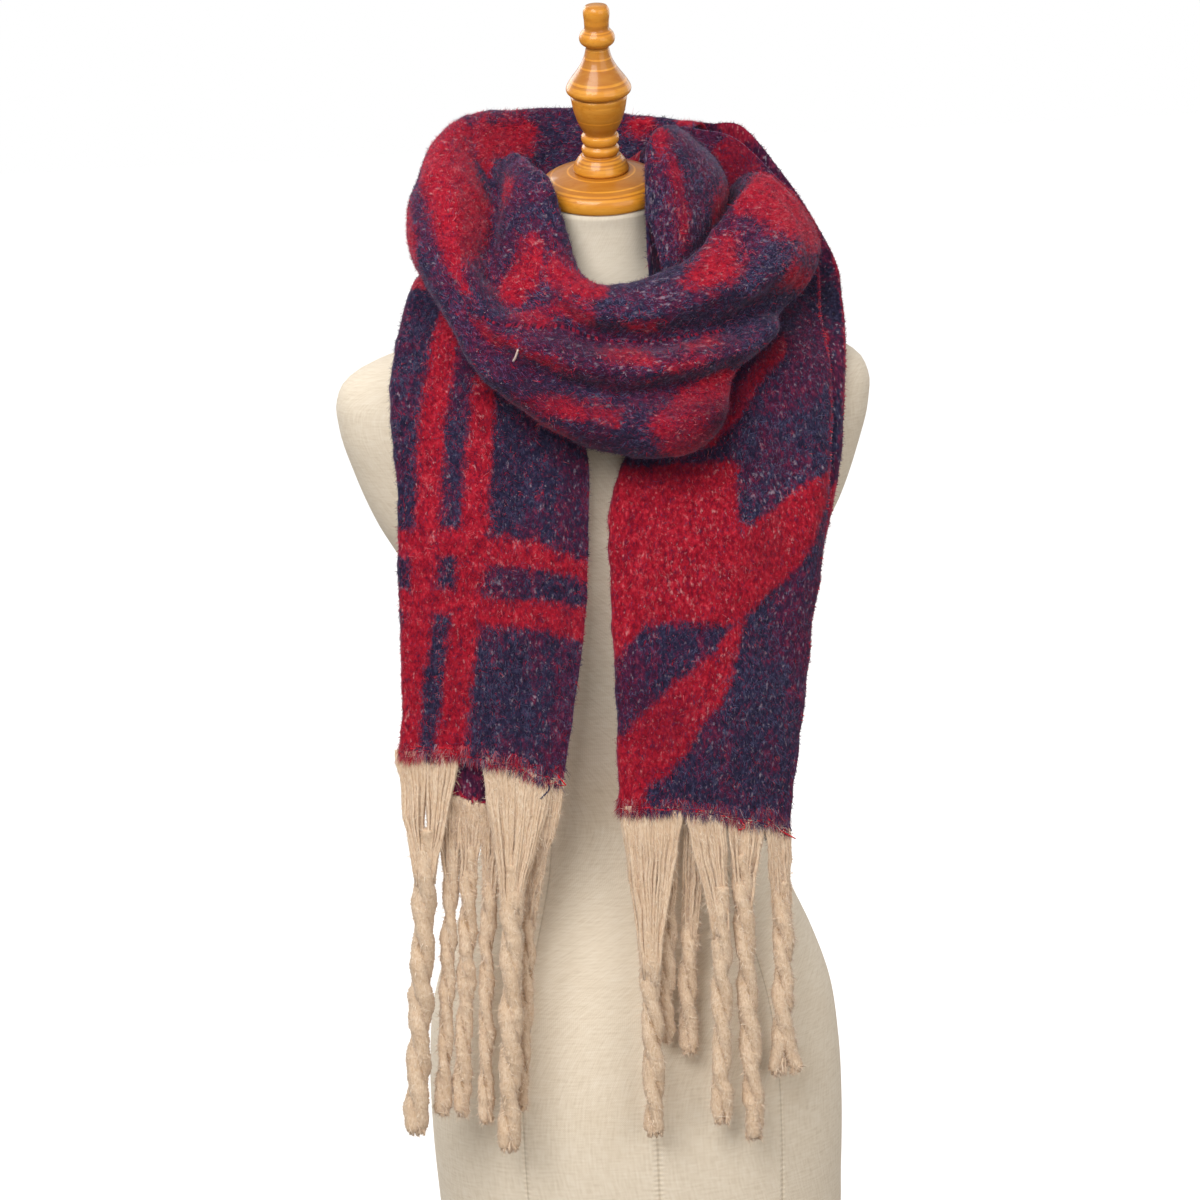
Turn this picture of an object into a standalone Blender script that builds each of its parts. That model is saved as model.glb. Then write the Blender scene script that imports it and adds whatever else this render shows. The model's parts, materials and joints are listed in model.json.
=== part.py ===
"""Blanket scarf wound once round the neck of a limbless dress form.

Frame: metres, +Z up, the form faces -Y, X = 0 is its plane of symmetry and the
origin is the middle of the flat base that the form stands on.

The scarf is one long cloth with twisted tassels at both ends. From the left
tail it goes over the left shoulder, behind the neck (inner band), round the
right side into the front cowl, over the left shoulder again (left roll), behind
the neck once more (back band) and over the right shoulder into the right tail.
Both tails are folded lengthwise, so each has a front and a back layer.
"""

import math

import bpy
import numpy as np

for old in list(bpy.data.objects):
    bpy.data.objects.remove(old, do_unlink=True)

# ---------------------------------------------------------------- main sizes
CLOTH = 0.003  # thickness of one layer of the brushed cloth
LAYERS = 0.007  # middle of one layer of a folded tail to the middle of the other
SEAM = 0.0003  # gap between neighbouring pieces
NECK_Y = -0.012  # the wound cloth circles an axis this far in front of X = Y = 0
NECK_MIDDLE = np.array([0.003, -0.016, 0.867])  # where the linen neck ends under the cap
LEAN_FORWARD = math.radians(18)  # the cap and finial lean towards -Y
LEAN_ASIDE = math.radians(1.6)  # and a little towards -X

# One row for each level of the dress form: height, half width, depth in front
# of and behind X, and how square the section is (2 is an ellipse).
FORM_COLUMNS = ("z", "half", "front", "back", "square")
FORM = (
    (0.000, 0.1600, 0.103, 0.110, 2.15),
    (0.012, 0.1630, 0.106, 0.114, 2.15),
    (0.060, 0.1665, 0.110, 0.119, 2.15),
    (0.120, 0.1690, 0.112, 0.121, 2.15),
    (0.175, 0.1680, 0.111, 0.118, 2.15),
    (0.225, 0.1620, 0.107, 0.110, 2.12),
    (0.265, 0.1490, 0.100, 0.099, 2.10),
    (0.305, 0.1320, 0.091, 0.088, 2.05),
    (0.345, 0.1180, 0.084, 0.079, 2.00),
    (0.375, 0.1130, 0.081, 0.076, 2.00),
    (0.420, 0.1180, 0.084, 0.081, 2.00),
    (0.480, 0.1330, 0.093, 0.092, 2.00),
    (0.540, 0.1500, 0.101, 0.101, 2.05),
    (0.580, 0.1640, 0.103, 0.105, 2.10),
    (0.620, 0.1855, 0.101, 0.106, 2.15),
    (0.660, 0.2010, 0.095, 0.104, 2.20),
    (0.695, 0.2105, 0.087, 0.097, 2.35),
    (0.718, 0.2110, 0.079, 0.089, 2.40),
    (0.733, 0.2030, 0.074, 0.082, 2.30),
    (0.744, 0.1860, 0.070, 0.077, 2.20),
    (0.753, 0.1620, 0.067, 0.073, 2.10),
    (0.763, 0.1330, 0.063, 0.069, 2.00),
    (0.775, 0.1040, 0.059, 0.065, 2.00),
    (0.788, 0.0800, 0.056, 0.059, 2.00),
    (0.802, 0.0640, 0.0535, 0.0535, 2.00),
    (0.820, 0.0540, 0.0500, 0.0500, 2.00),
    (0.842, 0.0495, 0.0480, 0.0480, 2.00),
)
BUST = dict(x=0.072, z=0.592, spread_x=0.044, spread_z=0.062, rise=0.014)

# Turned wood, along its leaning axis: height and radius in millimetres. The
# heights of the cap start at the linen, those of the finial at the cap.
CAP = (
    (0.0, 46.5), (1.2, 48.2), (4.0, 48.8), (7.6, 48.6), (10.4, 47.4),
    (13.2, 44.5), (15.8, 40.0), (18.0, 34.0), (19.6, 27.0), (20.3, 21.0),
)
FINIAL = (
    (0.0, 21.0), (1.2, 21.7), (4.1, 21.0), (6.9, 19.7), (9.4, 18.0), (12.0, 15.7),
    (13.0, 13.4), (14.0, 13.4), (14.8, 14.1), (16.4, 14.6), (18.3, 14.5), (19.9, 13.6),
    (20.9, 12.6), (22.0, 12.6), (23.0, 13.8), (24.6, 14.5), (27.2, 14.5), (29.0, 13.8),
    (29.8, 12.2), (31.5, 12.8), (34.0, 14.2), (37.9, 16.2), (42.8, 18.1), (49.2, 20.0),
    (56.1, 21.2), (59.7, 21.5), (60.8, 20.7), (62.0, 22.9), (64.0, 24.7), (66.4, 25.1),
    (68.5, 24.3), (72.4, 22.0), (77.8, 18.1), (83.2, 14.3), (90.1, 10.9), (96.5, 9.2),
    (98.9, 8.8), (100.2, 10.6), (102.4, 12.9), (105.8, 13.7), (108.7, 13.0), (111.3, 11.0),
    (112.8, 9.8), (118.0, 9.6), (128.6, 9.4), (130.4, 8.3),
)

# The wound cloth: one row for each direction round the neck. "turn" is the
# angle in degrees from the front towards the left shoulder (-X). Every other
# column is a place on the section across the cloth, as its distance from the
# neck's axis and its height, in millimetres.
COWL_COLUMNS = (
    "hidden", "wall", "crest", "roll_1", "crease_1",
    "roll_2", "crease_2", "roll_3", "under", "tuck",
)
COWL = (
    (-108, (112, 836), (111, 849), (117, 864), (131, 871), (139, 868), (139, 861), (136, 855), (131, 850), (124, 847), (117, 842)),
    (-96, (108, 818), (107, 848), (125, 875), (160, 850), (158, 832), (150, 821), (143, 814), (135, 808), (126, 806), (114, 808)),
    (-84, (104, 812), (107, 846), (130, 876), (170, 826), (164, 803), (152, 793), (142, 789), (131, 788), (121, 789), (109, 794)),
    (-74, (102, 808), (106, 845), (129, 875), (170, 820), (158, 788), (148, 781), (140, 779), (130, 778), (120, 779), (107, 785)),
    (-60, (98, 795), (99, 830), (117, 860), (162, 813), (143, 779), (145, 770), (138, 766), (131, 764), (121, 764), (106, 773)),
    (-50, (98, 785), (97, 818), (110, 843), (153, 806), (134, 777), (154, 763), (141, 750), (129, 747), (118, 751), (107, 765)),
    (-40, (98, 765), (96, 803), (108, 828), (146, 799), (126, 771), (152, 753), (138, 740), (130, 733), (125, 726), (118, 732)),
    (-33, (99, 757), (95, 794), (106, 820), (142, 795), (124, 768), (153, 750), (138, 736), (141, 718), (130, 697), (117, 708)),
    (-25, (99, 748), (95, 785), (105, 813), (138, 791), (122, 766), (154, 748), (139, 733), (157, 707), (140, 685), (118, 699)),
    (-12, (99, 742), (94, 778), (104, 806), (134, 786), (121, 763), (154, 745), (139, 727), (164, 702), (149, 678), (118, 690)),
    (0, (99, 740), (93, 775), (104, 803), (133, 783), (121, 764), (154, 744), (140, 725), (163, 702), (146, 681), (118, 692)),
    (12, (98, 742), (87, 777), (97, 806), (129, 787), (120, 770), (153, 747), (140, 729), (162, 707), (146, 688), (117, 698)),
    (24, (82, 765), (66, 802), (70, 824), (105, 803), (114, 781), (150, 757), (142, 739), (160, 720), (148, 703), (116, 712)),
    (33, (73, 790), (60, 832), (63, 858), (96, 818), (112, 787), (148, 766), (144, 748), (159, 731), (147, 716), (115, 729)),
    (42, (70, 805), (59, 850), (62, 879), (89, 840), (111, 792), (146, 780), (145, 762), (157, 745), (145, 731), (113, 747)),
    (60, (66, 825), (57, 864), (60, 888), (81, 866), (105, 812), (134, 832), (146, 812), (150, 794), (141, 779), (108, 794)),
    (78, (62, 837), (56, 871), (58, 895), (71, 882), (87, 842), (117, 874), (140, 858), (148, 832), (138, 808), (107, 819)),
    (90, (60, 844), (55, 875), (58, 900), (69, 890), (79, 862), (116, 895), (138, 880), (147, 853), (136, 819), (107, 829)),
    (100, (60, 850), (57, 878), (62, 903), (71, 895), (80, 872), (116, 907), (137, 890), (148, 860), (136, 821), (106, 831)),
    (115, (68, 850), (67, 876), (71, 898), (79, 894), (88, 886), (117, 921), (138, 900), (150, 862), (136, 818), (105, 827)),
    (130, (77, 840), (77, 864), (80, 880), (85, 888), (93, 898), (116, 930), (138, 905), (151, 862), (135, 806), (104, 812)),
    (140, (82, 830), (82, 857), (84, 875), (88, 885), (94, 899), (114, 931), (136, 906), (149, 861), (135, 793), (107, 800)),
    (150, (86, 820), (86, 850), (88, 870), (90, 882), (95, 899), (112, 932), (134, 906), (147, 860), (131, 772), (107, 772)),
    (180, (90, 805), (90, 840), (91, 865), (92, 881), (96, 901), (108, 932), (127, 907), (140, 860), (127, 757), (99, 745)),
    (205, (93, 805), (93, 840), (94, 866), (96, 883), (101, 903), (111, 925), (130, 902), (143, 858), (130, 762), (100, 750)),
    (230, (101, 800), (101, 840), (103, 868), (107, 893), (114, 908), (126, 915), (142, 895), (152, 858), (138, 786), (112, 776)),
)
COWL_STEP = 9.8  # degrees round the neck between rows of facets
SEAM_TURN = 0.27  # half the angle left between two of its nodes
COWL_SPANS = dict(  # where each node begins and ends round the neck
    scarf_cowl=(-108, 62),
    scarf_left_roll=(62, 122),
    scarf_back_band=(122, 230),
)

# The inner turn: same columns as above, for a band folded along its top edge.
BAND_COLUMNS = ("low_out", "out", "top_out", "top_in", "wall_in", "low_in")
BAND = (
    (-215, (79, 802), (80, 845), (76, 872), (70, 874), (67, 850), (68, 812)),
    (-180, (80, 800), (80, 845), (77, 876), (70, 880), (66, 858), (70, 812)),
    (-150, (82, 800), (83, 848), (79, 884), (69, 890), (63, 868), (67, 818)),
    (-130, (86, 806), (87, 855), (81, 894), (66, 903), (60, 880), (64, 824)),
    (-112, (90, 818), (91, 862), (83, 898), (63, 913), (57, 890), (59, 830)),
    (-90, (98, 845), (100, 872), (84, 899), (60, 914), (54.5, 892), (57, 835)),
    (-70, (96, 835), (97, 865), (82, 898), (61, 917), (57, 893), (59, 830)),
    (-55, (90, 820), (90, 855), (78, 898), (61, 918), (58, 893), (60, 820)),
    (-42, (88, 805), (86, 845), (75, 895), (61, 914), (59.5, 890), (61, 810)),
    (-36, (87, 797), (84, 835), (74, 885), (62, 907), (60, 882), (62, 802)),
    (-31, (86, 790), (82, 822), (73, 868), (63, 892), (61, 868), (63, 795)),
    (-28.5, (85, 782), (81, 804), (73, 833), (64, 848), (62, 828), (64, 785)),
)

# Tails and shoulder stretches: one row for each section along the cloth, from
# behind the shoulder to the hem, in millimetres. "fold" is the edge where the
# two layers join, "free" the open edge, "mid" halfway between them.
LEFT_COLUMNS = ("fold", "mid", "free")
LEFT = (
    ((-52, 67, 786), (-51, 62, 792), (-51, 57, 798)),
    ((-80, 66, 779), (-68, 60, 791), (-57, 53, 802)),
    ((-107, 59, 780), (-87, 55, 793), (-64, 46, 806)),
    ((-124, 42, 793), (-96, 41, 801), (-69, 34, 811)),
    ((-136, 18, 805), (-105, 16, 811), (-73, 14, 817)),
    ((-139, -14, 812), (-107, -14, 812), (-74, -12, 814)),
    ((-147, -40, 803), (-107, -44, 799), (-64, -54, 792)),
    ((-161, -64, 772), (-105, -76, 767), (-48, -86, 755)),
    ((-169, -88, 735), (-104, -93, 722), (-38, -99, 714)),
    ((-171, -108, 678), (-102, -112, 671), (-30, -112, 672)),
    ((-174, -120, 617), (-104, -130, 615), (-34, -121, 617)),
    ((-174, -123, 565), (-107, -132, 558), (-39, -125, 558)),
    ((-177, -125, 505), (-114, -132, 498), (-50, -128, 497)),
    ((-181, -125, 459), (-125, -132, 451), (-64, -130, 427)),
)
RIGHT_FRONT = (
    ((78, 52, 800), (79.5, 53.5, 862), (91, 63, 911)),
    ((85, 38, 800), (102, 38, 838), (121, 57, 903)),
    ((90, 21, 800), (122, 20, 814), (148, 38, 874)),
    ((91, 6, 801), (130, 4, 798), (167, 20, 846)),
    ((89, -10, 802), (131, -11, 788), (173, 1, 813)),
    ((76, -46, 790), (128, -45, 769), (167, -42, 766)),
    ((58, -81, 753), (118, -80, 741), (168, -67, 733)),
    ((34, -103, 713), (104, -103, 701), (166, -82, 697)),
    ((1, -115, 668), (92, -117, 657), (160, -93, 657)),
    ((-13, -125, 622), (80, -132, 615), (155, -101, 620)),
    ((-15, -129, 576), (72, -135, 572), (147, -106, 576)),
    ((-14, -130, 500), (60, -137, 497), (133, -111, 495)),
    ((-15, -130, 450), (54, -138, 444), (124, -114, 440)),
    ((-16, -130, 404), (46, -137, 397), (112, -119, 373)),
)
RIGHT_BACK = (
    ((87, 59, 777), (117.5, 85, 855), (103.5, 73, 918)),
    ((92, 44, 782), (131, 60, 829), (130, 70, 917)),
    ((95, 29, 788), (142, 36, 804), (157, 59, 883)),
    ((95, 14, 791), (146, 14, 790), (177, 42, 849)),
    ((92, -1, 791), (147, -3, 781), (192, 21, 814)),
    ((78, -38, 781), (146, -36, 762), (191, -18, 777)),
    ((60, -75, 747), (130, -72, 735), (187, -50, 742)),
    ((37, -95, 706), (112, -94, 694), (181, -67, 702)),
    ((6, -107, 662), (96, -107, 651), (175, -80, 659)),
    ((-7, -117, 620), (84, -122, 612), (164, -90, 617)),
    ((-9, -121, 570), (76, -126, 568), (151, -95, 578)),
    ((-8, -122, 500), (64, -128, 497), (135, -99, 498)),
    ((-9, -122, 444), (58, -129, 440), (125, -101, 436)),
    ((-10, -122, 398), (50, -128, 391), (113, -106, 365)),
)
BACK_HEM_DROP = 0.030  # the left tail's back layer ends this much lower

# Fringe: one row for each tassel, in millimetres. It hangs as a flat bunch
# between x_a and x_b at height z_top, its top falling with the hem, draws
# together at the pinch, and hangs from there as a twisted cord to its foot.
TASSEL_COLUMNS = (
    "x_a", "x_b", "z_top", "fall", "x_pinch", "z_pinch", "wide",
    "x_foot", "z_foot", "foot_wide", "y",
)
TASSELS = (
    (-189, -141, 452, 5, -170, 383, 20, -190, 157, 19, -129),
    (-156, -140, 412, 4, -153, 384, 13, -170, 168, 15, -121),
    (-138, -124, 409, 4, -138, 370, 15, -155, 166, 14, -122),
    (-122, -109, 404, 4, -122, 362, 13, -137, 159, 16, -122),
    (-124, -70, 436, 16, -106, 352, 19, -119, 138, 20, -133),
    (-92, -66, 391, 8, -92, 346, 11, -107, 165, 9, -116),
    (-19, 27, 397, 3, -2, 292, 18, -5, 141, 18, -136),
    (8, 26, 386, 2, 15, 314, 15, 9, 211, 13, -121),
    (30, 48, 383, 4, 33, 312, 16, 26, 200, 18, -121),
    (30, 60, 392, 6, 55, 322, 17, 48, 148, 19, -137),
    (63, 92, 384, 9, 73, 345, 18, 75, 130, 20, -131),
    (94, 113, 370, 8, 105, 318, 18, 103, 177, 32, -120),
)


# ------------------------------------------------------------------- curves
def through(at, values, where):
    """Smooth curve through the rows of values, given at the places "at"."""
    at = np.asarray(at, float)
    values = np.asarray(values, float).reshape(len(at), -1)
    where = np.atleast_1d(np.asarray(where, float))
    step = np.diff(at)
    slope = np.diff(values, axis=0) / step[:, None]
    tangent = np.empty_like(values)
    tangent[0], tangent[-1] = slope[0], slope[-1]
    weight = step[1:, None] / (step[:-1] + step[1:])[:, None]
    tangent[1:-1] = slope[:-1] * weight + slope[1:] * (1 - weight)
    cell = np.clip(np.searchsorted(at, where, side="right") - 1, 0, len(step) - 1)
    h = step[cell][:, None]
    u = (where - at[cell])[:, None] / h
    flat = np.clip(u, 0, 1)
    out = (
        (2 * flat**3 - 3 * flat**2 + 1) * values[cell]
        + (flat**3 - 2 * flat**2 + flat) * h * tangent[cell]
        + (3 * flat**2 - 2 * flat**3) * values[cell + 1]
        + (flat**3 - flat**2) * h * tangent[cell + 1]
    )
    return out + (u - flat) * h * tangent[np.where(u[:, 0] < 0, cell, cell + 1)]


def through_knots(knots, per_knot):
    """Points on a smooth curve through the knots, per_knot to each interval."""
    chord = np.sqrt(np.linalg.norm(np.diff(knots, axis=0), axis=1)) + 1e-6
    at = np.concatenate([[0], np.cumsum(chord)])
    cell = np.arange(len(at) - 1)
    where = (at[cell][:, None] + np.diff(at)[:, None] * np.arange(per_knot) / per_knot)
    return through(at, knots, np.append(where.ravel(), at[-1]))


# ------------------------------------------------------------------ surfaces
def round_the_neck(rows, turns, per_knot):
    """Grid of points of wound cloth: [direction round the neck, across]."""
    rows = np.array([[row[0], *(v for knot in row[1:] for v in knot)] for row in rows], float)
    grid = []
    for turn, knots in zip(turns, through(rows[:, 0], rows[:, 1:] / 1000, turns)):
        r, z = through_knots(knots.reshape(-1, 2), per_knot).T
        a = math.radians(turn)
        grid.append(np.stack([-r * math.sin(a), NECK_Y - r * math.cos(a), z], -1))
    return np.array(grid)


def along_the_tail(rows, count, across, drop=0.0):
    """Grid of points of a hanging stretch: [from shoulder to hem, from fold to free edge]."""
    rows = np.array(rows, float) / 1000
    middle = rows[:, 1]
    length = np.concatenate([[0], np.cumsum(np.linalg.norm(np.diff(middle, axis=0), axis=1))])
    where = np.linspace(0, length[-1] + drop, count)
    sections = through(length, rows.reshape(len(rows), -1), where).reshape(count, 3, 3)
    t = np.linspace(0, 1, across)[None, :, None]
    fold, mid, free = sections[:, None, 0], sections[:, None, 1], sections[:, None, 2]
    return fold * (1 - t) * (1 - 2 * t) + mid * 4 * t * (1 - t) + free * t * (2 * t - 1)


def unit(vectors):
    return vectors / np.maximum(np.linalg.norm(vectors, axis=-1, keepdims=True), 1e-12)


def normals_of(grid):
    return unit(np.cross(np.gradient(grid, axis=0), np.gradient(grid, axis=1)))


def normals_round_the_neck(rows, turns, per_knot):
    near = 0.5
    ahead = round_the_neck(rows, turns + near, per_knot)
    behind = round_the_neck(rows, turns - near, per_knot)
    return unit(np.cross(ahead - behind, np.gradient((ahead + behind) / 2, axis=1)))


def with_fold(grid, facing, steps=3):
    """Adds the half turn at the fold edge, which brings the cloth round to the layer behind."""
    normal = normals_of(grid) * facing
    outward = grid[:, 0] - grid[:, 1]
    outward -= (outward * normal[:, 0]).sum(-1, keepdims=True) * normal[:, 0]
    outward /= np.linalg.norm(outward, axis=-1, keepdims=True)
    r = LAYERS / 2
    turn = [
        grid[:, 0] + outward * r * math.sin(a) - normal[:, 0] * r * (1 - math.cos(a))
        for a in np.linspace(math.pi, 0, steps + 1)[:-1]
    ]
    return np.concatenate([np.stack(turn, 1), grid], 1)


# -------------------------------------------------------------------- meshes
def material(name, colour, roughness, metallic=0.0):
    made = bpy.data.materials.get(name)
    if made is None:
        made = bpy.data.materials.new(name)
        made.use_nodes = True
        shader = made.node_tree.nodes["Principled BSDF"]
        shader.inputs["Base Color"].default_value = (*colour, 1.0)
        shader.inputs["Roughness"].default_value = roughness
        shader.inputs["Metallic"].default_value = metallic
        made.diffuse_color = (*colour, 1.0)
    return made


def add(name, points, faces, finish, sharp=40):
    mesh = bpy.data.meshes.new(name)
    mesh.from_pydata([tuple(p) for p in points], [], [tuple(f) for f in faces])
    mesh.validate()
    mesh.shade_smooth()
    mesh.set_sharp_from_angle(angle=math.radians(sharp))
    mesh.materials.append(finish)
    made = bpy.data.objects.new(name, mesh)
    bpy.context.scene.collection.objects.link(made)
    return made


def add_wall(name, grid, finish, facing=1, normal=None, thick=CLOTH):
    """A closed wall of even thickness with the grid at its middle."""
    normal = (normals_of(grid) if normal is None else normal) * facing
    n, m = grid.shape[:2]
    points = np.concatenate(
        [(grid + normal * thick / 2).reshape(-1, 3), (grid - normal * thick / 2).reshape(-1, 3)]
    )
    outer = lambda i, j: i * m + j
    inner = lambda i, j: n * m + i * m + j
    faces = []
    for i in range(n - 1):
        for j in range(m - 1):
            faces.append((outer(i, j), outer(i + 1, j), outer(i + 1, j + 1), outer(i, j + 1)))
            faces.append((inner(i, j), inner(i, j + 1), inner(i + 1, j + 1), inner(i + 1, j)))
    for i in range(n - 1):
        for j, turned in ((0, False), (m - 1, True)):
            side = (outer(i, j), inner(i, j), inner(i + 1, j), outer(i + 1, j))
            faces.append(side[::-1] if turned else side)
    for j in range(m - 1):
        for i, turned in ((0, True), (n - 1, False)):
            side = (outer(i, j), inner(i, j), inner(i, j + 1), outer(i, j + 1))
            faces.append(side[::-1] if turned else side)
    if facing < 0:
        faces = [f[::-1] for f in faces]
    return add(name, points, faces, finish)


def add_rings(name, rings, finish, sharp=40):
    """A closed solid through rings of points, with a flat end on each of the first and last."""
    rings = np.asarray(rings, float)
    n, m = rings.shape[:2]
    faces = [tuple(range(m))[::-1], tuple((n - 1) * m + j for j in range(m))]
    for i in range(n - 1):
        for j in range(m):
            k = (j + 1) % m
            faces.append((i * m + j, i * m + k, (i + 1) * m + k, (i + 1) * m + j))
    return add(name, rings.reshape(-1, 3), faces, finish, sharp)


LINEN = material("form_linen", (0.62, 0.56, 0.46), 0.85)
WOOD = material("form_wood", (0.55, 0.25, 0.05), 0.30)
PLAID = material("scarf_cloth", (0.16, 0.02, 0.06), 0.95)
FRINGE = material("scarf_fringe", (0.62, 0.42, 0.26), 0.95)


# ------------------------------------------------------------------ the form
def form_ring(level, sides):
    z, half, front, back, square = level
    angle = np.arange(sides) / sides * 2 * math.pi
    c, s = np.cos(angle), np.sin(angle)
    x = half * np.sign(c) * np.abs(c) ** (2 / square)
    y = np.where(s > 0, back, front) * np.sign(s) * np.abs(s) ** (2 / square)
    near = np.exp(-(((np.abs(x) - BUST["x"]) / BUST["spread_x"]) ** 2))
    level_with = math.exp(-(((z - BUST["z"]) / BUST["spread_z"]) ** 2))
    y = y - BUST["rise"] * near * level_with * np.clip(-s * 2.5, 0, 1)
    return np.stack([x, y, np.full(sides, z)], -1)


def lean(points):
    """Tips points about the middle of the neck's top, forward and then aside."""
    x, y, z = np.moveaxis(np.asarray(points, float) - NECK_MIDDLE, -1, 0)
    c, s = math.cos(LEAN_FORWARD), math.sin(LEAN_FORWARD)
    y, z = y * c - z * s, y * s + z * c
    c, s = math.cos(LEAN_ASIDE), math.sin(LEAN_ASIDE)
    x, z = x * c - z * s, x * s + z * c
    return np.stack([x, y, z], -1) + NECK_MIDDLE


def build_form():
    table = np.array(FORM)
    levels = np.concatenate([np.linspace(0.012, 0.60, 15), np.linspace(0.62, 0.842, 17)])
    levels = np.concatenate([[0.0], levels])
    rows = through(table[:, 0], table[:, 1:], levels)
    rings = [form_ring((z, *row), 40) for z, row in zip(levels, rows)]
    bend = np.clip((levels - 0.785) / 0.08, 0, 1) ** 1.5
    for ring, share in zip(rings, bend):
        ring[:, :2] += share * NECK_MIDDLE[:2]
    angle = np.arange(40) / 40 * 2 * math.pi
    top = np.stack([0.0475 * np.cos(angle), 0.0475 * np.sin(angle), np.zeros(40)], -1)
    rings.append(lean(top + NECK_MIDDLE))
    add_rings("form_torso", rings, LINEN, 60)


def turned(name, profile, above, sides):
    """A turned solid on the leaning axis, its profile starting this far above the neck."""
    angle = np.arange(sides) / sides * 2 * math.pi
    rings = [
        np.stack([r * np.cos(angle), r * np.sin(angle), np.full(sides, z)], -1) / 1000
        + NECK_MIDDLE
        + [0, 0, above]
        for z, r in profile
    ]
    return add_rings(name, lean(rings), WOOD, 35)


def build_cap():
    turned("form_neck_disc", CAP, SEAM, 40)
    turned("form_finial", FINIAL, 2 * SEAM + CAP[-1][0] / 1000, 24)


# ----------------------------------------------------------------- the scarf
def build_wound():
    turns = []
    for first, last in COWL_SPANS.values():
        first += SEAM_TURN if turns else 0
        last -= SEAM_TURN if last != COWL[-1][0] else 0
        turns.append(np.linspace(first, last, int(round((last - first) / COWL_STEP)) + 1))
    for name, part in zip(COWL_SPANS, turns):
        normal = normals_round_the_neck(COWL, part, 3)
        add_wall(name, round_the_neck(COWL, part, 3), PLAID, -1, normal)
    turns = np.concatenate([np.linspace(BAND[0][0], -45, 14), np.linspace(-39, -33, 2), np.linspace(-31, BAND[-1][0], 2)])
    grid = round_the_neck(BAND, turns, 3)
    add_wall("scarf_inner_band", grid, PLAID, 1, normals_round_the_neck(BAND, turns, 3))


def build_tails():
    left = along_the_tail(LEFT, 17, 8)
    add_wall("scarf_left_tail_front", with_fold(left, 1), PLAID)
    behind = along_the_tail(LEFT, 18, 8, BACK_HEM_DROP)
    behind = (behind - normals_of(behind) * LAYERS)[1:]  # hidden start left out
    inset = np.linspace(0.05, 0.97, 8)
    behind = np.stack([through(np.linspace(0, 1, 8), row, inset) for row in behind])
    add_wall("scarf_left_tail_back", behind, PLAID)
    right = along_the_tail(RIGHT_FRONT, 22, 8)
    add_wall("scarf_right_front", with_fold(right, 1), PLAID, -1)
    behind = along_the_tail(RIGHT_BACK, 22, 8)
    behind = np.stack([through(np.linspace(0, 1, 8), row, inset) for row in behind])
    add_wall("scarf_right_back", behind, PLAID, -1)


def build_fringe():
    angle = np.arange(8) / 8 * 2 * math.pi
    c, s = np.cos(angle), np.sin(angle)
    for number, row in enumerate(TASSELS, 1):
        t = {k: v / 1000 for k, v in zip(TASSEL_COLUMNS, row)}
        top, pinch, foot = t["z_top"], t["z_pinch"], t["z_foot"]
        middle, wide = (t["x_a"] + t["x_b"]) / 2, t["x_b"] - t["x_a"]
        between = lambda share: t["x_pinch"] + (t["x_foot"] - t["x_pinch"]) * share
        # height, centre, width, depth, fall of the ring from its -X to its +X side
        sections = (
            (foot, t["x_foot"], t["foot_wide"], 0.014, 0),
            (foot + 0.022, between(0.92), t["wide"], 0.016, 0),
            (pinch + (foot - pinch) * 0.65, between(0.60), t["wide"], 0.016, 0),
            (pinch + (foot - pinch) * 0.30, between(0.25), t["wide"], 0.016, 0),
            (pinch, t["x_pinch"], t["wide"], 0.015, 0),
            (
                (top + pinch) / 2,
                middle * 0.55 + t["x_pinch"] * 0.45,
                wide * 0.62 + t["wide"] * 0.38,
                0.010,
                t["fall"] / 2,
            ),
            (top, middle, wide, 0.007, t["fall"]),
        )
        rings = [
            np.stack([x + w / 2 * c, t["y"] + d / 2 * s, z - fall / 2 * c], -1)
            for z, x, w, d, fall in sections
        ]
        add_rings("scarf_tassel_%02d" % number, rings, FRINGE)


build_form()
build_cap()
build_wound()
build_tails()
build_fringe()
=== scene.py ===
"""Looks of the blanket scarf wound on its limbless dress form.

Everything is shaped here in mesh code, in metres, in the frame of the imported
model: one continuous shell of brushed cloth for the wound part, one for the
inner turn and one for each folded tail, loose fibres for the raised nap, yarn
by yarn fringe that twists into felted cords, and the linen form with its
turned-wood cap and finial.
"""

import json
import math

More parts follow.
